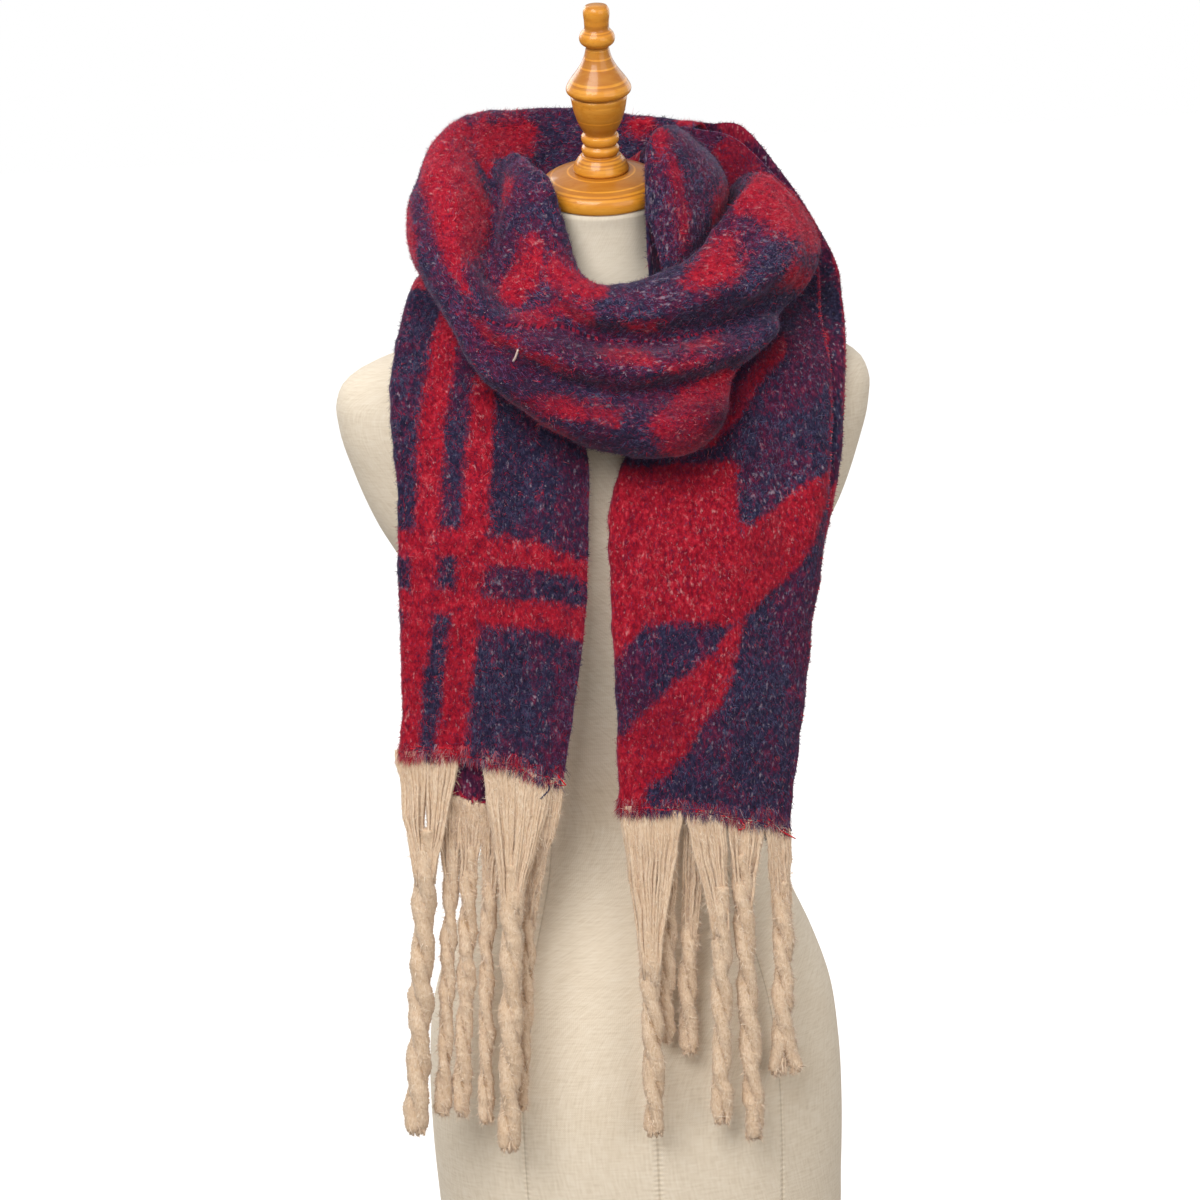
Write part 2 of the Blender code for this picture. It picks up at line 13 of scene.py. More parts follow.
import bpy
import numpy as np
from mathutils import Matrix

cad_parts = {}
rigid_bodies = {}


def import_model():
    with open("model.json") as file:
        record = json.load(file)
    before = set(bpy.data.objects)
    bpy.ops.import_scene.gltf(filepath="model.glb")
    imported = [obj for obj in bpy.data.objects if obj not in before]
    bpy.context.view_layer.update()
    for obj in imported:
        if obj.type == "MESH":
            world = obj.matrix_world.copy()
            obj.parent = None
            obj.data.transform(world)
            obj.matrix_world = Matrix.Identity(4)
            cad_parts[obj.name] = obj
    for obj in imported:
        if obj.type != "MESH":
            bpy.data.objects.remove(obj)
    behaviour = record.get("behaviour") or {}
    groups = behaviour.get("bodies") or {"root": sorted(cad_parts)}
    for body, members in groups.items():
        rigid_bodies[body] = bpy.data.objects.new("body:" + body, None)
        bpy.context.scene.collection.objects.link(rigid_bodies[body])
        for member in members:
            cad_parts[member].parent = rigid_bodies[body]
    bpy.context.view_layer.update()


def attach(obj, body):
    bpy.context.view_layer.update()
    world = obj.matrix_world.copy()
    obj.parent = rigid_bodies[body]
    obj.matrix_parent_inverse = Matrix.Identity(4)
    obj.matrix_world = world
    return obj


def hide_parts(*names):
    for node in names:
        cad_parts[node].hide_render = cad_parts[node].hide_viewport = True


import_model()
for spare in list(bpy.data.objects):  # the empty scene's own cube, light and camera, if any
    if spare.type in ("LIGHT", "CAMERA") or spare.name == "Cube":
        bpy.data.objects.remove(spare, do_unlink=True)

# ---------------------------------------------------------------- main sizes
CLOTH = 0.0026  # thickness of the felted ground of one layer, without its nap
LAYERS = 0.007
NECK_Y = -0.012
NECK_MIDDLE = np.array([0.003, -0.016, 0.867])
LEAN_FORWARD = math.radians(18)
LEAN_ASIDE = math.radians(1.6)
STEP = 0.0036  # spacing of the cloth's mesh

FORM_COLUMNS = ("z", "half", "front", "back", "square")
FORM = (
    (0.000, 0.1600, 0.103, 0.110, 2.15),
    (0.012, 0.1630, 0.106, 0.114, 2.15),
    (0.060, 0.1665, 0.110, 0.119, 2.15),
    (0.120, 0.1690, 0.112, 0.121, 2.15),
    (0.175, 0.1680, 0.111, 0.118, 2.15),
    (0.225, 0.1620, 0.107, 0.110, 2.12),
    (0.265, 0.1490, 0.100, 0.099, 2.10),
    (0.305, 0.1320, 0.091, 0.088, 2.05),
    (0.345, 0.1180, 0.084, 0.079, 2.00),
    (0.375, 0.1130, 0.081, 0.076, 2.00),
    (0.420, 0.1180, 0.084, 0.081, 2.00),
    (0.480, 0.1330, 0.093, 0.092, 2.00),
    (0.540, 0.1500, 0.101, 0.101, 2.05),
    (0.580, 0.1640, 0.103, 0.105, 2.10),
    (0.620, 0.1855, 0.101, 0.106, 2.15),
    (0.660, 0.2010, 0.095, 0.104, 2.20),
    (0.695, 0.2105, 0.087, 0.097, 2.35),
    (0.718, 0.2110, 0.079, 0.089, 2.40),
    (0.733, 0.2030, 0.074, 0.082, 2.30),
    (0.744, 0.1860, 0.070, 0.077, 2.20),
    (0.753, 0.1620, 0.067, 0.073, 2.10),
    (0.763, 0.1330, 0.063, 0.069, 2.00),
    (0.775, 0.1040, 0.059, 0.065, 2.00),
    (0.788, 0.0800, 0.056, 0.059, 2.00),
    (0.802, 0.0640, 0.0535, 0.0535, 2.00),
    (0.820, 0.0540, 0.0500, 0.0500, 2.00),
    (0.842, 0.0495, 0.0480, 0.0480, 2.00),
)
BUST = dict(x=0.072, z=0.592, spread_x=0.044, spread_z=0.062, rise=0.014)

# Turned wood, along its leaning axis: height and radius in millimetres. The
# heights of the cap start at the linen, those of the finial at the cap.
CAP = (
    (0.0, 46.5), (1.2, 48.2), (4.0, 48.8), (7.6, 48.6), (10.4, 47.4),
    (13.2, 44.5), (15.8, 40.0), (18.0, 34.0), (19.6, 27.0), (20.3, 21.0),
)
FINIAL = (
    (0.0, 21.0), (1.2, 21.7), (4.1, 21.0), (6.9, 19.7), (9.4, 18.0), (12.0, 15.7),
    (13.0, 13.4), (14.0, 13.4), (14.8, 14.1), (16.4, 14.6), (18.3, 14.5), (19.9, 13.6),
    (20.9, 12.6), (22.0, 12.6), (23.0, 13.8), (24.6, 14.5), (27.2, 14.5), (29.0, 13.8),
    (29.8, 12.2), (31.5, 12.8), (34.0, 14.2), (37.9, 16.2), (42.8, 18.1), (49.2, 20.0),
    (56.1, 21.2), (59.7, 21.5), (60.8, 20.7), (62.0, 22.9), (64.0, 24.7), (66.4, 25.1),
    (68.5, 24.3), (72.4, 22.0), (77.8, 18.1), (83.2, 14.3), (90.1, 10.9), (96.5, 9.2),
    (98.9, 8.8), (100.2, 10.6), (102.4, 12.9), (105.8, 13.7), (108.7, 13.0), (111.3, 11.0),
    (112.8, 9.8), (118.0, 9.6), (128.6, 9.4), (130.4, 8.3),
)

# The wound cloth: one row for each direction round the neck. "turn" is the
# angle in degrees from the front towards the left shoulder (-X). Every other
# column is a place on the section across the cloth, as its distance from the
# neck's axis and its height, in millimetres.
COWL_COLUMNS = (
    "hidden", "wall", "crest", "roll_1", "crease_1",
    "roll_2", "crease_2", "roll_3", "under", "tuck",
)
COWL = (
    (-108, (112, 836), (111, 849), (117, 864), (131, 871), (139, 868), (139, 861), (136, 855), (131, 850), (124, 847), (117, 842)),
    (-96, (108, 818), (107, 848), (125, 875), (160, 850), (158, 832), (150, 821), (143, 814), (135, 808), (126, 806), (114, 808)),
    (-84, (104, 812), (107, 846), (130, 876), (170, 826), (164, 803), (152, 793), (142, 789), (131, 788), (121, 789), (109, 794)),
    (-74, (102, 808), (106, 845), (129, 875), (170, 820), (158, 788), (148, 781), (140, 779), (130, 778), (120, 779), (107, 785)),
    (-60, (98, 795), (99, 830), (117, 860), (162, 813), (143, 779), (145, 770), (138, 766), (131, 764), (121, 764), (106, 773)),
    (-50, (98, 785), (97, 818), (110, 843), (153, 806), (134, 777), (154, 763), (141, 750), (129, 747), (118, 751), (107, 765)),
    (-40, (98, 765), (96, 803), (108, 828), (146, 799), (126, 771), (152, 753), (138, 740), (130, 733), (125, 726), (118, 732)),
    (-33, (99, 757), (95, 794), (106, 820), (142, 795), (124, 768), (153, 750), (138, 736), (141, 718), (130, 697), (117, 708)),
    (-25, (99, 748), (95, 785), (105, 813), (138, 791), (122, 766), (154, 748), (139, 733), (157, 707), (140, 685), (118, 699)),
    (-12, (99, 742), (94, 778), (104, 806), (134, 786), (121, 763), (154, 745), (139, 727), (164, 702), (149, 678), (118, 690)),
    (0, (99, 740), (93, 775), (104, 803), (133, 783), (121, 764), (154, 744), (140, 725), (163, 702), (146, 681), (118, 692)),
    (12, (98, 742), (87, 777), (97, 806), (129, 787), (120, 770), (153, 747), (140, 729), (162, 707), (146, 688), (117, 698)),
    (24, (82, 765), (66, 802), (70, 824), (105, 803), (114, 781), (150, 757), (142, 739), (160, 720), (148, 703), (116, 712)),
    (33, (73, 790), (60, 832), (63, 858), (96, 818), (112, 787), (148, 766), (144, 748), (159, 731), (147, 716), (115, 729)),
    (42, (70, 805), (59, 850), (62, 879), (89, 840), (111, 792), (146, 780), (145, 762), (157, 745), (145, 731), (113, 747)),
    (60, (66, 825), (57, 864), (60, 888), (81, 866), (105, 812), (134, 832), (146, 812), (150, 794), (141, 779), (108, 794)),
    (78, (62, 837), (56, 871), (58, 895), (71, 882), (87, 842), (117, 874), (140, 858), (148, 832), (138, 808), (107, 819)),
    (90, (60, 844), (55, 875), (58, 900), (69, 890), (79, 862), (116, 895), (138, 880), (147, 853), (136, 819), (107, 829)),
    (100, (60, 850), (57, 878), (62, 903), (71, 895), (80, 872), (116, 907), (137, 890), (148, 860), (136, 821), (106, 831)),
    (115, (68, 850), (67, 876), (71, 898), (79, 894), (88, 886), (117, 921), (138, 900), (150, 862), (136, 818), (105, 827)),
    (130, (77, 840), (77, 864), (80, 880), (85, 888), (93, 898), (116, 930), (138, 905), (151, 862), (135, 806), (104, 812)),
    (140, (82, 830), (82, 857), (84, 875), (88, 885), (94, 899), (114, 931), (136, 906), (149, 861), (135, 793), (107, 800)),
    (150, (86, 820), (86, 850), (88, 870), (90, 882), (95, 899), (112, 932), (134, 906), (147, 860), (131, 772), (107, 772)),
    (180, (90, 805), (90, 840), (91, 865), (92, 881), (96, 901), (108, 932), (127, 907), (140, 860), (127, 757), (99, 745)),
    (205, (93, 805), (93, 840), (94, 866), (96, 883), (101, 903), (111, 925), (130, 902), (143, 858), (130, 762), (100, 750)),
    (230, (101, 800), (101, 840), (103, 868), (107, 893), (114, 908), (126, 915), (142, 895), (152, 858), (138, 786), (112, 776)),
)

# The inner turn: same columns as above, for a band folded along its top edge.
BAND_COLUMNS = ("low_out", "out", "top_out", "top_in", "wall_in", "low_in")
BAND = (
    (-215, (79, 802), (80, 845), (76, 872), (70, 874), (67, 850), (68, 812)),
    (-180, (80, 800), (80, 845), (77, 876), (70, 880), (66, 858), (70, 812)),
    (-150, (82, 800), (83, 848), (79, 884), (69, 890), (63, 868), (67, 818)),
    (-130, (86, 806), (87, 855), (81, 894), (66, 903), (60, 880), (64, 824)),
    (-112, (90, 818), (91, 862), (83, 898), (63, 913), (57, 890), (59, 830)),
    (-90, (98, 845), (100, 872), (84, 899), (60, 914), (54.5, 892), (57, 835)),
    (-70, (96, 835), (97, 865), (82, 898), (61, 917), (57, 893), (59, 830)),
    (-55, (90, 820), (90, 855), (78, 898), (61, 918), (58, 893), (60, 820)),
    (-42, (88, 805), (86, 845), (75, 895), (61, 914), (59.5, 890), (61, 810)),
    (-36, (87, 797), (84, 835), (74, 885), (62, 907), (60, 882), (62, 802)),
    (-31, (86, 790), (82, 822), (73, 868), (63, 892), (61, 868), (63, 795)),
    (-28.5, (85, 782), (81, 804), (73, 833), (64, 848), (62, 828), (64, 785)),
)

# Tails and shoulder stretches: one row for each section along the cloth, from
# behind the shoulder to the hem, in millimetres. "fold" is the edge where the
# two layers join, "free" the open edge, "mid" halfway between them.
LEFT_COLUMNS = ("fold", "mid", "free")
LEFT = (
    ((-52, 67, 786), (-51, 62, 792), (-51, 57, 798)),
    ((-80, 66, 779), (-68, 60, 791), (-57, 53, 802)),
    ((-107, 59, 780), (-87, 55, 793), (-64, 46, 806)),
    ((-124, 42, 793), (-96, 41, 801), (-69, 34, 811)),
    ((-136, 18, 805), (-105, 16, 811), (-73, 14, 817)),
    ((-139, -14, 812), (-107, -14, 812), (-74, -12, 814)),
    ((-147, -40, 803), (-107, -44, 799), (-64, -54, 792)),
    ((-161, -64, 772), (-105, -76, 767), (-48, -86, 755)),
    ((-169, -88, 735), (-104, -93, 722), (-38, -99, 714)),
    ((-171, -108, 678), (-102, -112, 671), (-30, -112, 672)),
    ((-174, -120, 617), (-104, -130, 615), (-34, -121, 617)),
    ((-174, -123, 565), (-107, -132, 558), (-39, -125, 558)),
    ((-177, -125, 505), (-114, -132, 498), (-50, -128, 497)),
    ((-181, -125, 459), (-125, -132, 451), (-64, -130, 427)),
)
RIGHT_FRONT = (
    ((78, 52, 800), (79.5, 53.5, 862), (91, 63, 911)),
    ((85, 38, 800), (102, 38, 838), (121, 57, 903)),
    ((90, 21, 800), (122, 20, 814), (148, 38, 874)),
    ((91, 6, 801), (130, 4, 798), (167, 20, 846)),
    ((89, -10, 802), (131, -11, 788), (173, 1, 813)),
    ((76, -46, 790), (128, -45, 769), (167, -42, 766)),
    ((58, -81, 753), (118, -80, 741), (168, -67, 733)),
    ((34, -103, 713), (104, -103, 701), (166, -82, 697)),
    ((1, -115, 668), (92, -117, 657), (160, -93, 657)),
    ((-13, -125, 622), (80, -132, 615), (155, -101, 620)),
    ((-15, -129, 576), (72, -135, 572), (147, -106, 576)),
    ((-14, -130, 500), (60, -137, 497), (133, -111, 495)),
    ((-15, -130, 450), (54, -138, 444), (124, -114, 440)),
    ((-16, -130, 404), (46, -137, 397), (112, -119, 373)),
)
RIGHT_BACK = (
    ((87, 59, 777), (117.5, 85, 855), (103.5, 73, 918)),
    ((92, 44, 782), (131, 60, 829), (130, 70, 917)),
    ((95, 29, 788), (142, 36, 804), (157, 59, 883)),
    ((95, 14, 791), (146, 14, 790), (177, 42, 849)),
    ((92, -1, 791), (147, -3, 781), (192, 21, 814)),
    ((78, -38, 781), (146, -36, 762), (191, -18, 777)),
    ((60, -75, 747), (130, -72, 735), (187, -50, 742)),
    ((37, -95, 706), (112, -94, 694), (181, -67, 702)),
    ((6, -107, 662), (96, -107, 651), (175, -80, 659)),
    ((-7, -117, 620), (84, -122, 612), (164, -90, 617)),
    ((-9, -121, 570), (76, -126, 568), (151, -95, 578)),
    ((-8, -122, 500), (64, -128, 497), (135, -99, 498)),
    ((-9, -122, 444), (58, -129, 440), (125, -101, 436)),
    ((-10, -122, 398), (50, -128, 391), (113, -106, 365)),
)

# Fringe: one row for each tassel, in millimetres. It hangs as a flat bunch
# between x_a and x_b at height z_top, its top falling with the hem, draws
# together at the pinch, and hangs from there as a twisted cord to its foot.
TASSEL_COLUMNS = (
    "x_a", "x_b", "z_top", "fall", "x_pinch", "z_pinch", "wide",
    "x_foot", "z_foot", "foot_wide", "y",
)
TASSELS = (
    (-189, -141, 452, 5, -170, 383, 20, -190, 157, 19, -129),
    (-158, -136, 412, 4, -149, 380, 13, -169, 168, 15, -121),
    (-143, -124, 409, 4, -137, 366, 15, -154, 166, 14, -122),
    (-127, -103, 404, 5, -121, 358, 13, -137, 159, 16, -122),
    (-124, -70, 436, 16, -106, 352, 19, -119, 138, 20, -133),
    (-90, -62, 393, 8, -90, 342, 12, -106, 165, 10, -116),
    (-19, 27, 397, 3, -2, 292, 18, -5, 141, 18, -136),
    (8, 26, 386, 2, 15, 314, 15, 9, 211, 13, -121),
    (30, 48, 383, 4, 33, 312, 16, 26, 200, 18, -121),
    (30, 60, 392, 6, 55, 322, 17, 48, 148, 19, -137),
    (63, 92, 384, 9, 73, 345, 18, 75, 130, 20, -131),
    (94, 113, 370, 8, 105, 318, 18, 103, 177, 32, -120),
)


# ------------------------------------------------------------------- curves
def through(at, values, where):
    """Smooth curve through the rows of values, given at the places "at"."""
    at = np.asarray(at, float)
    values = np.asarray(values, float).reshape(len(at), -1)
    where = np.atleast_1d(np.asarray(where, float))
    step = np.diff(at)
    slope = np.diff(values, axis=0) / step[:, None]
    tangent = np.empty_like(values)
    tangent[0], tangent[-1] = slope[0], slope[-1]
    weight = step[1:, None] / (step[:-1] + step[1:])[:, None]
    tangent[1:-1] = slope[:-1] * weight + slope[1:] * (1 - weight)
    cell = np.clip(np.searchsorted(at, where, side="right") - 1, 0, len(step) - 1)
    h = step[cell][:, None]
    u = (where - at[cell])[:, None] / h
    flat = np.clip(u, 0, 1)
    out = (
        (2 * flat**3 - 3 * flat**2 + 1) * values[cell]
        + (flat**3 - 2 * flat**2 + flat) * h * tangent[cell]
        + (3 * flat**2 - 2 * flat**3) * values[cell + 1]
        + (flat**3 - flat**2) * h * tangent[cell + 1]
    )
    return out + (u - flat) * h * tangent[np.where(u[:, 0] < 0, cell, cell + 1)]


def through_knots(knots, u):
    """Points on the smooth curve through the knots; u counts knots from 0."""
    chord = np.sqrt(np.linalg.norm(np.diff(knots, axis=0), axis=1)) + 1e-6
    at = np.concatenate([[0], np.cumsum(chord)])
    cell = np.minimum(u.astype(int), len(chord) - 1)
    return through(at, knots, at[cell] + (u - cell) * chord[cell])


def round_the_neck(rows, turns, u):
    """Grid of points of wound cloth: [direction round the neck, across]."""
    rows = np.array([[row[0], *(v for knot in row[1:] for v in knot)] for row in rows], float)
    grid = []
    for turn, knots in zip(turns, through(rows[:, 0], rows[:, 1:] / 1000, turns)):
        r, z = through_knots(knots.reshape(-1, 2), u).T
        a = math.radians(turn)
        grid.append(np.stack([-r * math.sin(a), NECK_Y - r * math.cos(a), z], -1))
    return np.array(grid)


def along_the_tail(rows, share, t, drop):
    """Grid of points of a hanging stretch: [from shoulder to hem, from fold to free edge].
    drop is how much lower than the last row each column ends."""
    rows = np.array(rows, float) / 1000
    middle = rows[:, 1]
    length = np.concatenate([[0], np.cumsum(np.linalg.norm(np.diff(middle, axis=0), axis=1))])
    out = []
    for column, (place, lower) in enumerate(zip(t, drop)):
        where = share * (length[-1] + lower)
        fold, mid, free = through(length, rows.reshape(len(rows), -1), where).reshape(-1, 3, 3).transpose(1, 0, 2)
        out.append(fold * (1 - place) * (1 - 2 * place) + mid * 4 * place * (1 - place) + free * place * (2 * place - 1))
    return np.stack(out, 1), length[-1]


def unit(vectors):
    return vectors / np.maximum(np.linalg.norm(vectors, axis=-1, keepdims=True), 1e-12)


def normals_of(grid, facing=1):
    return unit(np.cross(np.gradient(grid, axis=0), np.gradient(grid, axis=1))) * facing


def smoothed(grid, rounds):
    """Evens out a grid of vectors over its neighbours, keeping its edges."""
    for _ in range(rounds):
        grid = grid.copy()
        grid[1:-1] = grid[1:-1] * 0.5 + (grid[:-2] + grid[2:]) * 0.25
        grid[:, 1:-1] = grid[:, 1:-1] * 0.5 + (grid[:, :-2] + grid[:, 2:]) * 0.25
    return grid


def evenly(steps, spacing):
    """Places from 0 to 1 whose distances are even, where steps are the lengths of even shares."""
    run = np.concatenate([[0], np.cumsum(steps)])
    count = max(2, int(round(run[-1] / spacing)) + 1)
    return np.interp(np.linspace(0, run[-1], count), run, np.linspace(0, 1, len(run)))


def ramp(value, low, high):
    share = np.clip((value - low) / (high - low), 0, 1)
    return share * share * (3 - 2 * share)


def waves(points, wavelength, seed, count=16):
    """Smooth noise of about unit size over points in metres."""
    random = np.random.default_rng(seed)
    out = np.zeros(points.shape[:-1])
    for _ in range(count):
        way = unit(random.normal(size=3)) * 2 * math.pi / wavelength * random.uniform(0.6, 1.45)
        out += np.sin(points @ way + random.uniform(0, 2 * math.pi))
    return out / math.sqrt(count / 2)


def inside(x, y, corners):
    """How far inside a closed outline each place is; negative outside."""
    far, within = np.full(np.shape(x), 1e9), np.zeros(np.shape(x), bool)
    for (ax, ay), (bx, by) in zip(corners, corners[1:] + corners[:1]):
        ex, ey = bx - ax, by - ay
        t = np.clip(((x - ax) * ex + (y - ay) * ey) / (ex * ex + ey * ey + 1e-12), 0, 1)
        far = np.minimum(far, np.hypot(x - ax - t * ex, y - ay - t * ey))
        level = ey if abs(ey) > 1e-9 else 1e-9
        within ^= ((ay > y) != (by > y)) & (x < ex * (y - ay) / level + ax)
    return np.where(within, far, -far)


def near_line(points, line):
    """Distance of each point to a chain of points, and how far along the chain, 0 to 1."""
    line = np.asarray(line)
    best, place = np.full(points.shape[:-1], 1e9), np.zeros(points.shape[:-1])
    for k, (a, b) in enumerate(zip(line[:-1], line[1:])):
        e = b - a
        t = np.clip(((points - a) @ e) / (e @ e + 1e-12), 0, 1)
        d = np.linalg.norm(points - a - t[..., None] * e, axis=-1)
        place = np.where(d < best, (k + t) / (len(line) - 1), place)
        best = np.minimum(best, d)
    return best, place


# -------------------------------------------------------------------- meshes
def mesh_object(name, points, faces, finishes, values=(), smooth=True, index=None):
    """A mesh from arrays; faces all have the same number of corners."""
    mesh = bpy.data.meshes.new(name)
    faces = np.asarray(faces, np.int32)
    count, corners = faces.shape
    mesh.vertices.add(len(points))
    mesh.vertices.foreach_set("co", np.asarray(points, np.float32).ravel())
    mesh.loops.add(count * corners)
    mesh.loops.foreach_set("vertex_index", faces.ravel())
    mesh.polygons.add(count)
    mesh.polygons.foreach_set("loop_start", np.arange(0, count * corners, corners, dtype=np.int32))
    if index is not None:
        mesh.polygons.foreach_set("material_index", np.asarray(index, np.int32))
    mesh.polygons.foreach_set("use_smooth", np.full(count, smooth))
    for finish in finishes:
        mesh.materials.append(finish)
    mesh.update(calc_edges=True)
    for label, kind, data in values:
        made = mesh.attributes.new(label, kind, "POINT")
        made.data.foreach_set("vector" if kind == "FLOAT_VECTOR" else "value", np.asarray(data, np.float32).ravel())
    made = bpy.data.objects.new(name, mesh)
    bpy.context.scene.collection.objects.link(made)
    return made


def shell(name, cloth, finish, thick=CLOTH):
    """A closed thin wall with rounded edges round a grid of cloth."""
    grid, normal = cloth["grid"], cloth["normal"]
    n, m = grid.shape[:2]
    half = np.full((n, m), thick / 2)
    half[[0, -1]] *= 0.75
    half[:, [0, -1]] *= 0.75
    outer, inner = grid + normal * half[..., None], grid - normal * half[..., None]
    i, j = np.meshgrid(np.arange(n - 1), np.arange(m - 1), indexing="ij")
    quad = lambda at: np.stack([at(i, j), at(i + 1, j), at(i + 1, j + 1), at(i, j + 1)], -1).reshape(-1, 4)
    front = quad(lambda a, b: a * m + b)
    back = quad(lambda a, b: n * m + a * m + b)[:, ::-1]
    # the rim: once round the grid, with a row of points half way through the cloth
    way = (
        [(0, b) for b in range(m)] + [(a, m - 1) for a in range(1, n)]
        + [(n - 1, b) for b in range(m - 2, -1, -1)] + [(a, 0) for a in range(n - 2, 0, -1)]
    )
    way = np.array(way)
    a, b = way.T
    inward_a, inward_b = np.clip(a, 1, n - 2), np.clip(b, 1, m - 2)
    out = unit(grid[a, b] - grid[inward_a, inward_b])
    middle = grid[a, b] + out * thick * 0.36
    ring = a * m + b
    rim = 2 * n * m + np.arange(len(way))
    k = np.roll(np.arange(len(way)), -1)
    sides = np.concatenate(
        [
            np.stack([ring, ring[k], rim[k], rim], -1),
            np.stack([rim, rim[k], ring[k] + n * m, ring + n * m], -1),
        ]
    )
    points = np.concatenate([outer.reshape(-1, 3), inner.reshape(-1, 3), middle])
    faces = np.concatenate([front, back, sides])
    if cloth["flip"]:
        faces = faces[:, ::-1]
    values = []
    for label in ("red", "mix", "pale", "hem", "seam", "painted_shade"):
        data = cloth.get(label, np.zeros((n, m)))
        values.append((label, "FLOAT", np.concatenate([data.ravel(), data.ravel(), data[a, b]])))
    flat = cloth["flat"]
    values.append(("flat", "FLOAT_VECTOR", np.concatenate([flat.reshape(-1, 3), flat.reshape(-1, 3), flat[a, b]])))
    made = mesh_object(name, points, faces, [finish], values)
    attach(made, "root")
    return made


def tubes(paths, radii, sides, closed_ends=True):
    """Points and triangles-or-quads of round tubes along paths [tube, place, xyz]."""
    paths = np.asarray(paths, float)
    radii = np.broadcast_to(radii, paths.shape[:2])
    count, rows = paths.shape[:2]
    ahead = unit(np.gradient(paths, axis=1))
    aside = unit(np.cross(ahead, np.array([0.23, 0.97, 0.05])))
    third = np.cross(ahead, aside)
    angle = np.arange(sides) / sides * 2 * math.pi
    ring = (
        paths[:, :, None]
        + (aside[:, :, None] * np.cos(angle)[:, None] + third[:, :, None] * np.sin(angle)[:, None])
        * radii[:, :, None, None]
    )
    points = ring.reshape(-1, 3)
    base = (np.arange(count) * rows * sides)[:, None, None]
    r, s = np.meshgrid(np.arange(rows - 1), np.arange(sides), indexing="ij")
    r, s = r[None], s[None]
    k = (s + 1) % sides
    faces = np.stack(
        [base + r * sides + s, base + r * sides + k, base + (r + 1) * sides + k, base + (r + 1) * sides + s], -1
    ).reshape(-1, 4)
    if closed_ends:
        tips = np.concatenate([paths[:, 0], paths[:, -1]])
        first = len(points) + np.arange(count)
        last = first + count
        s = np.arange(sides)
        k = (s + 1) % sides
        head = np.arange(count)[:, None] * rows * sides
        tail = head + (rows - 1) * sides
        near = np.stack([head + k, head + s, np.broadcast_to(first[:, None], (count, sides)), np.broadcast_to(first[:, None], (count, sides))], -1)
        far = np.stack([tail + s, tail + k, np.broadcast_to(last[:, None], (count, sides)), np.broadcast_to(last[:, None], (count, sides))], -1)
        points = np.concatenate([points, tips])
        return points, faces, np.concatenate([near.reshape(-1, 4), far.reshape(-1, 4)])[:, :3]
    return points, faces, None


def tube_object(name, paths, radii, sides, finishes, values=(), index=None):
    """Tubes as one mesh of triangles, so that their tips close."""
    points, faces, ends = tubes(paths, radii, sides)
    rows = np.asarray(paths).shape[1]
    split = np.concatenate([faces[:, [0, 1, 2]], faces[:, [0, 2, 3]]])
    if index is not None:
        per = (rows - 1) * sides
        side = np.repeat(np.asarray(index), per)
        index = np.concatenate([side, side, np.repeat(index, sides), np.repeat(index, sides)])
    return mesh_object(name, points, np.concatenate([split, ends]), finishes, values, True, index)


# ------------------------------------------------------------ woven pattern
# The cloth is woven in a broken check of red on navy. An outline is where the
# red lies: for a tail as (share of the folded width, millimetres above the
# hem), for the wound cloth as (degrees round the neck, knot across it).
TAIL_WIDE = 150  # millimetres that the share of a tail's width counts for
LEFT_RED = (
    ((0.72, 460), (0.47, 420), (0.25, 344), (0.20, 318), (0.15, 277), (0.10, 243), (0.062, 186), (0.013, 122),
     (-0.05, 90), (-0.20, -40), (0.088, -40), (0.088, 53), (0.125, 92), (0.163, 124), (0.20, 186), (0.25, 245),
     (0.30, 280), (0.375, 320), (0.50, 372), (0.80, 440)),
    ((0.95, 430), (0.60, 352), (0.45, 294), (0.375, 246), (0.312, 186), (0.275, 125), (0.225, 92), (0.20, 55),
     (0.20, -40), (0.385, -40), (0.388, 16), (0.375, 56), (0.388, 94), (0.413, 125), (0.463, 186), (0.513, 247),
     (0.588, 297), (0.74, 350), (1.05, 420)),
    ((-0.40, 181), (0.013, 180), (0.25, 180), (0.463, 173), (0.713, 167), (0.975, 148.5), (1.10, 143), (1.10, 127),
     (0.975, 134), (0.738, 146), (0.463, 152), (0.25, 159), (0.0, 160), (-0.40, 158)),
    ((-0.40, 128), (0.0, 130), (0.25, 134), (0.463, 126), (0.738, 122), (0.988, 113), (1.10, 110), (1.10, 82),
     (0.988, 87), (0.75, 101.5), (0.413, 107), (0.238, 113), (0.0, 113), (-0.40, 112)),
    ((-0.4, 398), (0.2, 392), (0.6, 376), (1.1, 352), (1.1, 330), (0.6, 352), (0.2, 370), (-0.4, 374)),
    ((-0.4, 545), (1.1, 515), (1.1, 480), (-0.4, 505)),
)
